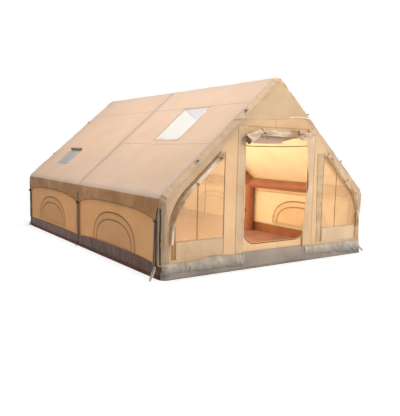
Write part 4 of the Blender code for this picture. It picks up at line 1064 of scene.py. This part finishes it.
def tray_rise(x, y):
    """How far the tray's side is pulled up between the columns."""
    if abs(x) < COLUMN_X or not FRONT_Y < y < REAR_Y:
        return 0.0
    share = abs(2 * bay_share(y) - 1)
    return (0.052 if y < MIDDLE_Y else 0.024) * (1 - share ** 4)


def tray_wall(x, y, z, lift=0.0):
    """Pushes a point of the tray's wall in or out along the wall's face."""
    outward = Vector((max(abs(x) - COLUMN_X, 0) * (1 if x > 0 else -1),
                      max(y - REAR_Y, 0) if y > 0 else min(y - FRONT_Y, 0), 0)).normalized()
    pucker = 0.0034 * noisy(x * 2.5 + y * 2.5, z * 17 + y * 2, 4) + 0.0016 * noisy(x * 9 - y * 9, z * 24, 9)
    pucker = min(pucker - 0.0016, 0)
    raise_by = 0.0
    if tray_rise(x, y) and z > TRAY_HEIGHT - 0.02:
        raise_by = wall_relief(1 if x > 0 else -1, y, z) + 0.0030 - pucker
    return Vector((x, y, z)) + outward * (pucker * min(z / 0.05, 1) + raise_by + lift)


def groundsheet():
    mesh = flat_sheet(along_sides(tray_outline(), 0.045), (), 0.25)
    rim = [edge for edge in mesh.edges if edge.is_boundary]
    steps = 9
    for step in range(steps):
        made = bmesh.ops.extrude_edge_only(mesh, edges=rim)
        rim = [e for e in made["geom"] if isinstance(e, bmesh.types.BMEdge) and e.is_boundary]
        for vert in [v for v in made["geom"] if isinstance(v, bmesh.types.BMVert)]:
            vert.co.z += (TRAY_HEIGHT + tray_rise(vert.co.x, vert.co.y)) / steps
    bmesh.ops.recalc_face_normals(mesh, faces=mesh.faces[:])
    low = min(mesh.faces, key=lambda f: f.calc_center_median().z)
    if low.normal.z > 0:
        bmesh.ops.reverse_faces(mesh, faces=mesh.faces[:])
    box_uv(mesh)
    for vert in mesh.verts:
        if vert.co.z > 0.001:
            vert.co = tray_wall(*vert.co)
    tray = piece("groundsheet_tray", mesh, [TRAY_COATED, FLOOR_COATED], "groundsheet_cloth",
                 replaces=["groundsheet"], thickness=0.0022, lining=1)
    tray_tape("tray_hem", 0.001, 0.052, HEM_COATED)
    tray_tape("tray_top_seam", 0.156, 0.168, ARCH_TAPE)


def tray_tape(name, low, high, look):
    """A tape round the whole tray, between these heights; the upper one follows the tray's edge."""
    outline = along_sides(tray_outline(), 0.05)
    start = outline.index(min(outline, key=lambda p: (abs(p[0]), p[1])))
    ring = outline[start:] + outline[:start + 1]
    count = len(ring) - 1

    def place(along, up):
        x, y = ring[round(along * count)]
        z = low + (high - low) * up + (tray_rise(x, y) if low > 0.1 else 0)
        return tray_wall(x, y, z, 0.0012 if 0 < up < 1 else 0.0003), (along * 17.7, (up - 0.5) * (high - low))

    mesh = bmesh.new()
    woven(mesh, count, 2, place)
    mesh.normal_update()
    face = max(mesh.faces, key=lambda f: f.calc_center_median().x)
    if face.normal.x < 0:
        bmesh.ops.reverse_faces(mesh, faces=mesh.faces[:])
    bmesh.ops.remove_doubles(mesh, verts=mesh.verts[:], dist=1e-6)
    piece(name, mesh, [look], "groundsheet_cloth", thickness=TAPE)


def arches():
    """Bladders blown up inside their sleeves, creased at the bends."""
    knees = ARCH_LINE[1:4]
    layers = (("arch_sleeve", "cloth", "sleeve_cloth", SLEEVE_RADIUS, 0.0046, SLEEVE_POLYESTER),
              ("air_tube", "film", "air_film", BLADDER_RADIUS, 0.0048, BLADDER_FILM))
    for (label, y), (kind, stuff, slot, radius, foot, look) in product(ARCHES.items(), layers):
        line = arc_corners([(COLUMN_X, foot), *knees, (-COLUMN_X, foot)], TUBE_BEND, 10)
        path = []
        for (first, _), (second, _) in zip(line, line[1:]):
            path += route([first, second], 0.04)[:-1]
        path.append(line[-1][0])

        def size(share, angle, path=path, radius=radius):
            point = path[round(share * (len(path) - 1))]
            near = min((point - knee).length for knee in knees)
            crease = 0.0035 * bell(near, 0.16) * (1 + sin(near * 95)) * max(-cos(angle), 0) ** 2
            return radius - crease - 0.0006 * (1 + noisy(point.x * 9, point.y * 9, angle * 2))

        mesh = bmesh.new()
        tube(mesh, [(p.x, y, p.y) for p in path], size, 24, (0.66, 0, 0.75))
        made = piece(f"{label}_{kind}_{stuff}", mesh, [look], slot, replaces=[f"{label}_{kind}"])


def beams():
    """Eave and ridge beams between the arches, pinched at their ends, with a cuff near each."""
    lines = {"left_eave": (-COLUMN_X, COLUMN_TOP), "right_eave": (COLUMN_X, COLUMN_TOP), "ridge": (0, ARCH_TOP)}
    low, high, half = SLEEVE_RADIUS - 0.001, SLEEVE_RADIUS + 0.0008, 0.012
    cuff = [(low, -half), (high, 0.001 - half), (high, half - 0.001), (low, half)]
    for (bay, middle), (label, (x, z)) in product(BAYS.items(), lines.items()):
        near, far = middle - ARCH_SPACING / 2 + 0.006, middle + ARCH_SPACING / 2 - 0.006

        def size(share, angle, long=far - near):
            gap = min(share, 1 - share) * long
            crease = 0.003 * bell(gap, 0.09) * (1 + sin(angle * 9)) + 0.012 * bell(gap, 0.06)
            return SLEEVE_RADIUS - crease - 0.0006 * (1 + noisy(share * 20, angle * 2))

        mesh = bmesh.new()
        tube(mesh, [(x, y, z) for y in spread(near, far, 60)], size, 24)
        made = piece(f"{bay}_{label}_beam_cloth", mesh, [SLEEVE_POLYESTER], "sleeve_cloth",
                     replaces=[f"{bay}_{label}_beam"])
        cuffs = bmesh.new()
        for y in (near + 0.104, far - 0.104):
            turned(cuffs, cuff, Matrix.Translation((x, y, z)) @ Matrix.Rotation(QUARTER, 4, "X"), 24)
        hard_piece(f"{bay}_{label}_beam_cuffs", cuffs, SLEEVE_POLYESTER, "sleeve_cloth")


def skirts():
    """Gathered strips in front of the floor's wall, beside the door."""
    inner, outer = 0.562, 1.785

    def top(x):
        return 0.205 + (0.028 * bell(x + 1.0, 0.30) if x < 0 else 0.012) + 0.006 * noisy(x * 7, 2)

    def hem(x):
        share = (abs(x) - inner) / (outer - inner)
        low = 0.060 + 0.028 * share if x < 0 else 0.094 - 0.060 * share
        return low - 0.055 * max(share - 0.86, 0) / 0.14 + 0.007 * noisy(x * 5, 8)

    for label, side in SIDES.items():
        mesh = bmesh.new()
        for vert, along, down in grid(mesh, 150, 18):
            x = side * (inner + (outer - inner) * along)
            vert.co = (x, top(x) + (hem(x) - top(x)) * down, 0)

        def at(x, z, lift=0.0):
            down = (top(x) - z) / (top(x) - hem(x))
            warp = noisy(x * 3.5, z * 5, 7)
            fold = 0.6 * noisy(x * 8 + 2 * warp, z * 7 + warp, side) + 0.5 * noisy(x * 17 + 3 * warp, z * 15, 11)
            fold += 0.25 * noisy(x * 37, z * 30, 4) - 0.3 * abs(noisy(x * 12 - z * 9, z * 8 + warp, 2))
            edge = min(down / 0.10, 1)
            return front_point(x, z, 0.0075 + max(edge * (0.009 + 0.008 * down + 0.026 * fold), 0) + lift)

        skirt = piece(f"front_{label}_skirt_cloth", lay(mesh, at), [SKIRT_COATED], "skirt_cloth",
                      replaces=[f"front_{label}_skirt"], thickness=CLOTH)
        across = [side * x for x in spread(inner, outer, 40)]
        lines = [[(x, top(x) - 0.010) for x in across], [(x, hem(x) + 0.012) for x in across]]
        seams(f"front_{label}_skirt_seam", at, lines, SKIRT_COATED, "skirt_cloth", 0.018)


def door_rolls():
    """The door cloth rolled up over the opening, held by two tied tapes with toggles."""
    half, ties = 0.60, (-0.345, 0.30)

    def centre(share):
        x = -half + 2 * half * share
        left, right = max(ties[0] - x, 0) / 0.26, clamp((x - ties[1]) / 0.30)
        drop = 0.108 * left ** 1.2 + 0.036 * sin(HALF_TURN * right) + 0.010 * max(1 - (x / 0.33) ** 2, 0)
        return Vector((x, FRONT_FACE - 0.060 - 0.012 * left, 1.802 - drop))

    def radius(share):
        x = -half + 2 * half * share
        near = bell(min(abs(x - tie) for tie in ties), 0.045)
        left, right = clamp((ties[0] - x) / 0.2), clamp((x - ties[1]) / 0.25)
        return 0.052 - 0.016 * near + 0.020 * left + 0.024 * sin(HALF_TURN * right) - 0.010 * right

    made = roll("door_roll_cloth", centre, radius, 2 * half, 2.8, ROLL_CANVAS, "canvas_gable", ["door_roll"],
                twist=6.0, lump=0.008, columns=190, groove=0.024, fine=40, stir=4.0)
    for label, side in SIDES.items():
        spot = centre(0.5 + ties[max(side, 0)] / (2 * half))
        tie = bmesh.new()
        band_round(tie, spot, (1, 0, 0.05 * side), 0.0435, TIE_WIDTH)
        front = spot + Vector((0, -0.040, -0.018))
        tail(tie, front + Vector((0.012, -0.003, 0)), 0.075, 0.018, 0.022)
        tail(tie, front + Vector((-0.012, -0.004, 0)), 0.060, 0.018, -0.020)
        piece(f"{label}_door_tie_tape", tie, [TIE_TAPE], "webbing", replaces=[f"{label}_door_tie"],
              thickness=0.0015)
        toggle = bmesh.new()
        bead(toggle, front + Vector((0, -0.009, 0)), (1, 0, 0.1), 0.045, 0.009)
        hard_piece(f"{label}_door_toggle", toggle, PLASTIC)


def mesh_door():
    """The net door behind the roll: its own roll, a length that hangs down, and its top tape with a pull."""
    left, right, top, tape_height = -0.55, 0.31, 1.748, 1.616
    hung = bmesh.new()
    for vert, along, down in grid(hung, 60, 8):
        x = left + (right - left) * along
        low = 1.658 + 0.075 * max((x + 0.02) / 0.33, 0)
        vert.co = (x, top + (low - top) * down, 0)

    def hanging(x, z, lift=0.0):
        return Vector((x, FRONT_FACE + 0.030 + 0.006 * noisy(x * 8, z * 5) - lift, z))

    made = piece("mesh_door_hanging_net", lay(hung, hanging), [DARK_NET], "mesh", thickness=0.0010)

    def threshold(x, z, lift=0.0):
        return Vector((x, FRONT_FACE + 0.014 - lift, z))

    sagging = [(x, tape_height + 0.016 * x + 0.010 * (x / 0.56) ** 2) for x in spread(-0.575, 0.575, 24)]
    seams("mesh_door_top_tape", threshold, [sagging], DARK_BINDING_TAPE, "mesh", 0.011)
    pull = bmesh.new()
    bead(pull, (0.10, FRONT_FACE + 0.009, tape_height), (1, 0, 0), 0.030, 0.007)
    hard_piece("mesh_door_pull", pull, PLASTIC)

    def centre(share):
        return Vector((-0.54 + 1.08 * share, FRONT_FACE + 0.046, 1.749 + 0.012 * share))

    made = roll("mesh_door_roll_net", centre, lambda share: 0.037 - 0.010 * share, 1.08, 3.2, DARK_NET, "mesh",
                ["mesh_door_roll"], twist=9.0, lump=0.005)


def shutters():
    """Window covers rolled up along the curved outer edge of each front window."""
    lift = 0.020 / cos(SLOPE)
    corners = [(SCREEN_INNER + 0.03, SCREEN_HEAD + lift - 0.03 * tan(SLOPE)),
               (SCREEN_OUTER + 0.02, SCREEN_SHOULDER + lift), (SCREEN_OUTER + 0.02, 0.43)]
    line = arc_corners(corners, SCREEN_BEND, 14)
    dense = route([point for point, _ in line], 0.03)
    for label, side in SIDES.items():
        def centre(share, side=side):
            k = min(int(share * (len(dense) - 1)), len(dense) - 2)
            spot = dense[k].lerp(dense[k + 1], share * (len(dense) - 1) - k)
            return Vector((side * spot.x, FRONT_FACE - 0.0365, spot.y))

        def radius(share, side=side):
            uneven = 0.002 * sin(share * 31 + side) - 0.010 * max(1 - share / 0.08, 0)
            return 0.033 - 0.015 * share ** 1.5 + uneven

        made = roll(f"{label}_shutter_roll_cloth", centre, radius, 1.55, 2.2, ROLL_CANVAS, "canvas_gable",
                    [f"{label}_shutter_roll"], twist=7.0, lump=0.006, columns=200, groove=0.006, fine=28,
                    stir=6.0)
        # A dark tape just outside each roll: the piping, drawn also as painted shadow of the roll
        edge = [(side * (p - n * 0.043).x, (p - n * 0.043).y) for p, n in line]
        seams(f"{label}_shutter_piping_and_shadow", front_point, [edge], DARK_TAPE, "canvas_gable", 0.013)
        bands, beads = bmesh.new(), bmesh.new()
        for share in (0.05, 0.34, 0.56):
            spot, ahead = centre(share), centre(share + 0.02)
            band_round(bands, spot, ahead - spot, radius(share) + 0.0035, 0.016)
            front = spot + Vector((0, -radius(share) - 0.004, 0.0))
            tail(bands, front, 0.045, 0.012, 0.012 * side)
            bead(beads, front + Vector((0, -0.005, 0.004)), (1, 0, 0.4 * side), 0.032, 0.0055)
        piece(f"{label}_shutter_ties", bands, [TIE_TAPE], "webbing", thickness=TRIM)
        hard_piece(f"{label}_shutter_toggles", beads, PLASTIC)


def gable_flap():
    """The rain flap over the door's top, hanging from the arch, with a fold along the right of its hem."""
    reach, hem = 0.138, FLAP_HEM + 0.008
    right = (ARCH_TOP - hem) / tan(SLOPE) + reach / sin(SLOPE)
    crown = [(reach * sin(angle), ARCH_TOP + reach * cos(angle)) for angle in spread(SLOPE, -SLOPE, 8)]

    def hem_height(x):
        share = 0.5 + x / (2 * right)
        rise = 0.020 * min(share / 0.35, 1) + 0.034 * smooth(clamp((share - 0.52) / 0.16))
        return hem - 0.022 + rise - 0.022 * max(share - 0.8, 0) / 0.2

    hem_line = [(x, hem_height(x)) for x in spread(-right, right, 28)]

    def at(x, z, lift=0.0):
        low = max(1 - (z - hem) / 0.14, 0)
        return front_point(x, z, 0.0026 + 0.006 * low * (0.6 + noisy(x * 5, 3)) + lift)

    mesh = lay(flat_sheet([*hem_line, *crown], (), CELL), at)
    flap = piece("front_gable_flap_cloth", mesh, [GABLE_CANVAS], "canvas_gable", replaces=["front_gable_flap"],
                 thickness=CLOTH)
    hem_seam = [(x, z + 0.012) for x, z in hem_line]
    seams("front_gable_flap_hem", at, [hem_seam], TRIM_CANVAS, "canvas_gable", 0.024)

    start, stop = 0.16, 0.62

    def folded(z, x, lift=0.0):
        return at(x, z, 0.004 + 0.010 * max(sin(HALF_TURN * clamp((x - start) / 0.46)), 0) ** 0.5 + lift)

    # The fold along the hem is drawn near white: painted highlight on the same canvas
    strip("front_gable_flap_fold", folded, lambda x: hem_height(x) + 0.002, lambda x: hem_height(x) + 0.026,
          start, stop, LIT_FOLD_CANVAS, "canvas_gable", 4, 40)


def stove_jack():
    """Heatproof patch on the left slope, with a stitched ring for the chimney and its rolled rain flap."""
    side, edge = SIDES["left"], (JACK_NEAR, JACK_FAR, JACK_LOW, JACK_HIGH)
    near, far, low, high = edge
    mesh = lay(flat_sheet(rectangle(*edge), (), 0.04), raised(roof_point, side, 0.0014))
    patch = piece("stove_jack_patch_cloth", mesh, [JACK_COATED], "jack_cloth", replaces=["stove_jack_patch"],
                  thickness=TRIM)
    y, s, chimney = (near + far) / 2, (low + high) / 2, 0.085
    ring = [(y + chimney * cos(angle), s + chimney * sin(angle)) for angle in spread(0, FULL_TURN, 32)]
    lines = [ring, *four_sides(rectangle(*edge, -0.01))]
    seams("stove_jack_seams", raised(roof_point, side, 0.0022), lines, JACK_TAPE, "jack_cloth", 0.014)

    def centre(share):
        return roof_point(side, near + (far - near) * share, high + 0.024 - 0.02 * (share - 0.5) ** 2, 0.024)

    made = roll("stove_jack_flap_cloth", centre, lambda share: 0.020 + 0.002 * sin(share * 9), 0.56, 2.4,
                JACK_FLAP_CLOTH, "webbing", ["stove_jack_flap"], twist=20.0, lump=0.003, columns=40)


# Free edge of each storm flap beside the door: height and distance from the middle, from the top down
STORM_FLAP_EDGES = {
    "left": [(1.90, 0.575), (0.20, 0.580)],
    "right": [(1.90, 0.545), (1.70, 0.520), (1.40, 0.552), (1.08, 0.583), (0.89, 0.540), (0.68, 0.508),
              (0.47, 0.490), (0.20, 0.500)],
}
STORM_FLAP_ROOT = 0.705


def storm_flaps():
    """Strips of cloth sewn beside the door, hanging over its zip."""
    for label, side in SIDES.items():
        knots = STORM_FLAP_EDGES[label]

        def inner(z, knots=knots):
            for (high, start), (low, stop) in zip(knots, knots[1:]):
                if z >= low:
                    share = (high - z) / (high - low)
                    break
            return start + (stop - start) * smooth(share) + 0.004 * noisy(z * 6, 2)

        def at(x, z, lift=0.0, side=side, inner=inner):
            share = clamp((STORM_FLAP_ROOT - abs(x)) / (STORM_FLAP_ROOT - inner(z)))
            over_slider = 0.012 * clamp((0.95 - z) / 0.25) if side > 0 else 0
            stand_off = 0.002 + (0.0145 + over_slider) * smooth(share)
            wave = 0.005 * share * noisy(z * 4.5, side, 3) + 0.0035 * share * noisy(z * 13, abs(x) * 8, side)
            return front_point(x, z, stand_off + abs(wave) + lift)

        strip(f"{label}_storm_flap_cloth", at, lambda z: side * inner(z), lambda z: side * STORM_FLAP_ROOT,
              0.225, 1.865, TRIM_CANVAS, "canvas_gable", 10, 90)
        seam = side * (STORM_FLAP_ROOT - 0.008)
        seams(f"{label}_storm_flap_seam", at, [[(seam, 1.86), (seam, 0.23)]], SEAM_TAPE, "canvas_gable", 0.014)
        hem = [(side * (inner(z) + 0.010), z) for z in spread(1.86, 0.23, 46)]
        seams(f"{label}_storm_flap_hem", at, [hem], TRIM_CANVAS, "canvas_gable", 0.020)


def front_seams():
    """Zip tapes of the door and the windows, and the seams of the front panel."""
    side, top, foot = DOOR_HALF + 0.012, 1.74, DOOR_SILL - 0.012
    corners = [(side, top), (side, foot), (-side, foot), (-side, top)]
    zip_line = [tuple(point) for point, _ in arc_corners(corners, DOOR_CORNER + 0.012, 10)]
    seams("door_zip_tape", front_point, [zip_line], DARK_TAPE, "canvas_gable", 0.015)
    head = 1.868
    panel = [([(-0.66, head), (0.66, head)], 0.012), ([(-0.06, head), (-0.06, 1.990)], 0.010),
             ([(-0.70, 1.94), (-0.70, 1.86)], 0.012), ([(0.05, 0.335), (0.05, 0.240)], 0.008)]
    seams("front_panel_seams", front_point, panel, SEAM_TAPE, "canvas_gable")
    zips = [[(side * 0.897, 1.545), (side * 0.893, 0.25)] for side in SIDES.values()]
    seams("window_zips", front_point, zips, DARK_TAPE, "canvas_gable", 0.008)


def front_bindings():
    """Strips beside the windows, over the front of the tray and over the door's sill."""
    def binding(x, z, lift=0.0):
        crumple = 0.006 * abs(noisy(z * 5, 4)) + 0.003 * abs(noisy(z * 14, x * 20, 6))
        return front_point(x, z, 0.0022 + crumple + lift)

    # Beside the right window, a creased strip drawn darker than the canvas: partly painted shade
    strip("right_window_shade_strip", binding, lambda z: 0.805 - 0.05 * z / 1.5, lambda z: 0.882, 0.25, 1.53,
          DARK_BINDING, "canvas_gable", 6, 60)
    # Down the outer side of each window, a brown strip of loose cloth drawn darker: painted shade
    for label, side in SIDES.items():
        strip(f"{label}_window_side_shade_strip", raised(gable_point, -1, 0.0024), lambda z: side * 1.612,
              lambda z: side * 1.672, 0.24, 0.64, SIDE_SHADED_STRIP, "canvas_gable", 4, 20)

    def tray_front(x, z, lift=0.0):
        return front_point(x, z, 0.0090 + 0.006 * abs(noisy(x * 6, z * 9, 1)) + lift)

    strip("front_tray_band", tray_front, lambda z: -HALF_WIDTH, lambda z: HALF_WIDTH, 0.006, 0.100, SILL_COATED,
          "groundsheet_cloth", 120, 5)
    strip("door_sill_band", lambda x, z, lift=0.0: tray_front(x, z, lift + 0.002), lambda z: -0.600,
          lambda z: 0.600, 0.020, 0.235, SILL_COATED, "groundsheet_cloth", 60, 10)


def window_aprons():
    """Creased cloth under each front window, and the tapes on the windows' nets."""
    inner, outer, top = 0.905, 1.616, 0.462
    for label, side in SIDES.items():
        def apron(x, z, lift=0.0, side=side):
            down = (top - z) / 0.21
            folds = abs(noisy(x * 6 + z * 5, z * 5, side)) + 0.5 * abs(noisy(x * 15, z * 12, side * 4))
            return front_point(x, z, 0.0022 + min(down / 0.15, 1) * (0.004 + 0.012 * folds) + lift)

        strip(f"{label}_window_apron_cloth", apron, lambda z: side * inner, lambda z: side * outer, 0.240, top,
              TRIM_CANVAS, "canvas_gable", 46, 16)
        line = [(side * inner, top - 0.010), (side * outer, top - 0.010)]
        seams(f"{label}_window_apron_seam", apron, [line], SEAM_TAPE, "canvas_gable", 0.013)
        middle = -1.30 if side < 0 else 1.18
        high = SCREEN_HEAD - (abs(middle) - SCREEN_INNER) * tan(SLOPE) - 0.03
        lines = [([(middle, SCREEN_SILL), (middle, high)], 0.016)]
        if side < 0:
            lines.append(([(-1.192, 0.775), (-1.188, 1.15)], 0.006))
        seams(f"{label}_screen_tape", raised(gable_point, -1, -0.0025), lines, ARCH_TAPE, "window_screen")


def along_rake(x, out):
    """A flat point beside an end arch: x on its centre line, moved out towards the roof."""
    base = Vector((x, ARCH_TOP - abs(x) * tan(SLOPE)))
    return base + Vector((sin(SLOPE) * (1 if x > 0 else -1), cos(SLOPE))) * out


def rake_bands():
    """A crumpled binding over the outer side of each end arch, from corner to corner."""
    start = 0.040
    wide = COVER_ARC - start - 0.001
    for (end, way), (label, side) in product(ENDS.items(), SIDES.items()):
        mesh = bmesh.new()
        for vert, along, across in grid(mesh, 150, 7):
            vert.co = (along * RAFTER, start + wide * across, 0)

        def at(along, out, lift=0.0, way=way, side=side):
            spot = along_rake(side * along * cos(SLOPE), out)
            pull = 0.5 * noisy(along * 8, out * 9, side + way) + 0.6 * noisy(along * 21, out * 14, side - way)
            pull += 0.35 * noisy(along * 46, out * 30, 3)
            return gable_point(way, spot.x, spot.y, 0.0052 + 0.0085 * max(pull, -0.4) + lift)

        made = piece(f"{label}_{end}_rake_band", lay(mesh, at), [BAND_CANVAS], "canvas_band", thickness=TRIM)


def guy_points():
    """Loops of braided cord, sewn on at both ends, each with a toggle, and an eyelet at the top of each end."""
    for end, way in ENDS.items():
        loops, beads, patches = bmesh.new(), bmesh.new(), []
        for x in (-1.22, -0.48, 0.48, 1.22):
            root = along_rake(x, 0.118)
            lean = 0.012 * noisy(x * 5, way)
            for length, shift in ((0.110, 0.0), (0.070, 0.014)):
                path = []
                for angle in spread(0, FULL_TURN, 20):
                    across = 0.015 * sin(angle) * (1.1 - 0.5 * cos(angle))
                    down = length * (1 - cos(angle)) / 2
                    x_now = root.x + across + shift + lean * down / length
                    path.append(gable_point(way, x_now, root.y - down, 0.0042))
                tube(loops, path, 0.0048, 8, (0.2, 0.9, 0.1))
            bead(beads, gable_point(way, root.x + lean, root.y - 0.030, 0.014), (1, 0, 0.5), 0.050, 0.0095)
            patches.append([(root.x - 0.018, root.y + 0.006), (root.x + 0.026, root.y + 0.006)])
        piece(f"{end}_guy_loops", loops, [CORD], "webbing")
        hard_piece(f"{end}_guy_toggles", beads, PLASTIC)
        seams(f"{end}_guy_patches", raised(gable_point, way, 0.0012), patches, WEBBING, "webbing", 0.022)
        eyelet = bmesh.new()
        high, ring = ARCH_TOP + 0.075, 0.0105
        path = [(ring * cos(angle), high + ring * sin(angle)) for angle in spread(0, FULL_TURN, 24)]
        tube(eyelet, [gable_point(way, x, z, 0.0035) for x, z in path], 0.0034, 8, (0, 1, 0))
        hard_piece(f"{end}_apex_eyelet", eyelet, ZINC, "steel")


def corner_bands():
    """Strips up both faces of each corner, drawn dark as painted shade of the corner, with webbing along them."""
    foot, wide = 0.178, 0.110
    for (label, side), (end, way) in product(SIDES.items(), ENDS.items()):
        def at(x, z, lift=0.0, way=way):
            folds = max(noisy(x * 26, z * 2.5, way), 0) + 0.5 * max(noisy(x * 60, z * 5, 3 * way), 0)
            return gable_point(way, x, z, 0.0024 + 0.014 * folds * clamp((abs(x) - 1.70) / 0.02) + lift)

        strip(f"{label}_{end}_corner_band", at, lambda z: side * (1.694 + 0.15 * max(z - 0.55, 0)),
              lambda z: side * (COLUMN_X + COVER_ARC - 0.001), foot, 0.93, CORNER_SHADED_CANVAS, "canvas_band", 12, 40)
        line = side * (COLUMN_X + 0.105)
        seams(f"{label}_{end}_corner_seam", at, [[(line, 0.18), (line, 0.86)]], WEBBING, "canvas_band", 0.022)
        beside = raised(wall_point, side, 0.0022)
        near = ARCHES[end]
        far = near - way * wide
        strip(f"{label}_{end}_corner_wall_band", beside, lambda z: near, lambda z: far, foot, 0.90, CORNER_SHADE_CLOTH,
              "canvas_wall", 6, 30)
        leaning = [(far, 0.18), (far + way * 0.035, 0.66)]
        seams(f"{label}_{end}_corner_wall_seam", beside, [leaning], WEBBING, "canvas_wall", 0.022)


def straps():
    """Webbing down each column, sewn on the valance, with a ring or a toggle, and a cord loop for a peg."""
    for (label, side), (bay, arch) in product(SIDES.items(), ARCHES.items()):
        way = ENDS.get(bay, 0)
        name, y = f"{label}_{bay}", arch - way * STRAP_INSET

        def at(v, z, lift=0.0, way=way, side=side):
            lean = max(z - EYE_HEIGHT, 0) * 0.30 * way
            ripple = 0.0009 * (1 + noisy(z * 11, v * 3, side))
            return Vector((side * (STRAP_FACE + ripple + lift), v + lean, z))

        mesh = bmesh.new()
        tape(mesh, route([(y, 0.868), (y, STRAP_FOOT)], 0.02), at, STRAP_WIDTH)
        strap = piece(f"{name}_strap_webbing", mesh, [WEBBING], "webbing", replaces=[f"{name}_strap"],
                      thickness=0.0022)
        peg_loop(name, side, y, bay == "front")
        toggle = bmesh.new()
        bead(toggle, (side * (STRAP_FACE + 0.018), y, 0.700), (0, 1, 0.35), 0.058, 0.017)
        hard_piece(f"{name}_toggle", toggle, PLASTIC)
        if way:
            strap_ring(name, side * EYE_X, y)


def peg_loop(name, side, y, front):
    """A loop at the strap's foot: thick cord that lies out on the ground in front, short webbing elsewhere."""
    if front:
        reach, thick, shift, rise, look = 0.118, 0.0080, 0.085, 0.03, CORD
    else:
        reach, thick, shift, rise, look = 0.030, 0.0045, 0.0, -0.03, WEBBING
    path = []
    for angle in spread(0, HALF_TURN, 24):
        out = sin(angle)
        along = 0.024 * cos(angle) * (0.55 + 0.75 * out) - shift * out
        path.append(Vector((side * (STRAP_FACE + 0.006 + reach * out ** 1.2), y + along,
                            0.008 + (STRAP_FOOT + rise) * (1 - out) ** 0.8)))
    loop = bmesh.new()
    tube(loop, path, thick, 10, (0, 1, 0.3))
    piece(f"{name}_peg_loop", loop, [look], "webbing")


def strap_ring(name, x, y):
    """The strap's eye, and the D-shaped wire ring that swings in it."""
    eye = bmesh.new()
    path = [(x, y + STRAP_WIDTH * (share - 0.5), EYE_HEIGHT) for share in spread(0, 1, 6)]
    tube(eye, path, 0.0058, 16, (0, 0, 1))
    piece(f"{name}_strap_eye", eye, [WEBBING], "webbing")
    ring = bmesh.new()
    path = [Vector((x, y + RING_HALF * share, EYE_HEIGHT)) for share in spread(0, 1, 6)]
    for angle in spread(0, -HALF_TURN, 24)[1:-1]:
        path.append(Vector((x, y + RING_HALF * cos(angle), EYE_HEIGHT + RING_HALF * sin(angle))))
    path += [Vector((x, y - RING_HALF * (1 - share), EYE_HEIGHT)) for share in spread(0, 1, 6)]
    tube(ring, path, 0.0025, 10, (1, 0, 0))
    hard_piece(f"{name}_ring_wire", ring, ZINC, "steel", f"{name}_ring", [f"{name}_ring"])


def rear_seams():
    head, side = 1.895, 0.925
    lines = [[(-0.70, head), (0.70, head)]] + [[(x, 1.64), (x, TRAY_HEIGHT)] for x in (-side, side)]
    seams("rear_panel_seams", raised(gable_point, 1), lines, SEAM_TAPE, "canvas_gable", 0.014)


def hard_nodes():
    """Finishes of the small moulded and metal solids, which are shown as they are."""
    looks = {"left_door_slider": ZINC_DARK, "right_door_slider": ZINC_DARK, "inflation_valve": PLASTIC,
             "valve_cap": PLASTIC, "valve_poppet": ZINC, "relief_valve": PLASTIC}
    for name, look in looks.items():
        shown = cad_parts[name]
        shown.data.materials.clear()
        shown.data.materials.append(look)


def valve_patches():
    """Round welded patches on the sleeves, in which the valves sit."""
    for bay, inner in (("rear", 0.0165), ("middle", 0.0105)):
        profile = [(inner, -0.002), (inner, 0.0030), (inner + 0.003, 0.0038), (inner + 0.016, 0.0030),
                   (inner + 0.018, -0.002)]
        place = Matrix.Translation((COLUMN_X - SLEEVE_RADIUS, ARCHES[bay], 0.40))
        patch = bmesh.new()
        turned(patch, profile, place @ Matrix.Rotation(-QUARTER, 4, "Y"), 32)
        hard_piece(f"{bay}_valve_patch", patch, DARK_TAPE, "sleeve_cloth")


stage_set()
lights()
camera()
roofs()
side_walls()
ends()
screens()
groundsheet()
arches()
beams()
skirts()
door_rolls()
mesh_door()
shutters()
gable_flap()
stove_jack()
storm_flaps()
front_seams()
front_bindings()
window_aprons()
rake_bands()
guy_points()
corner_bands()
straps()
rear_seams()
hard_nodes()
valve_patches()

bpy.context.scene.view_settings.view_transform = "Standard"
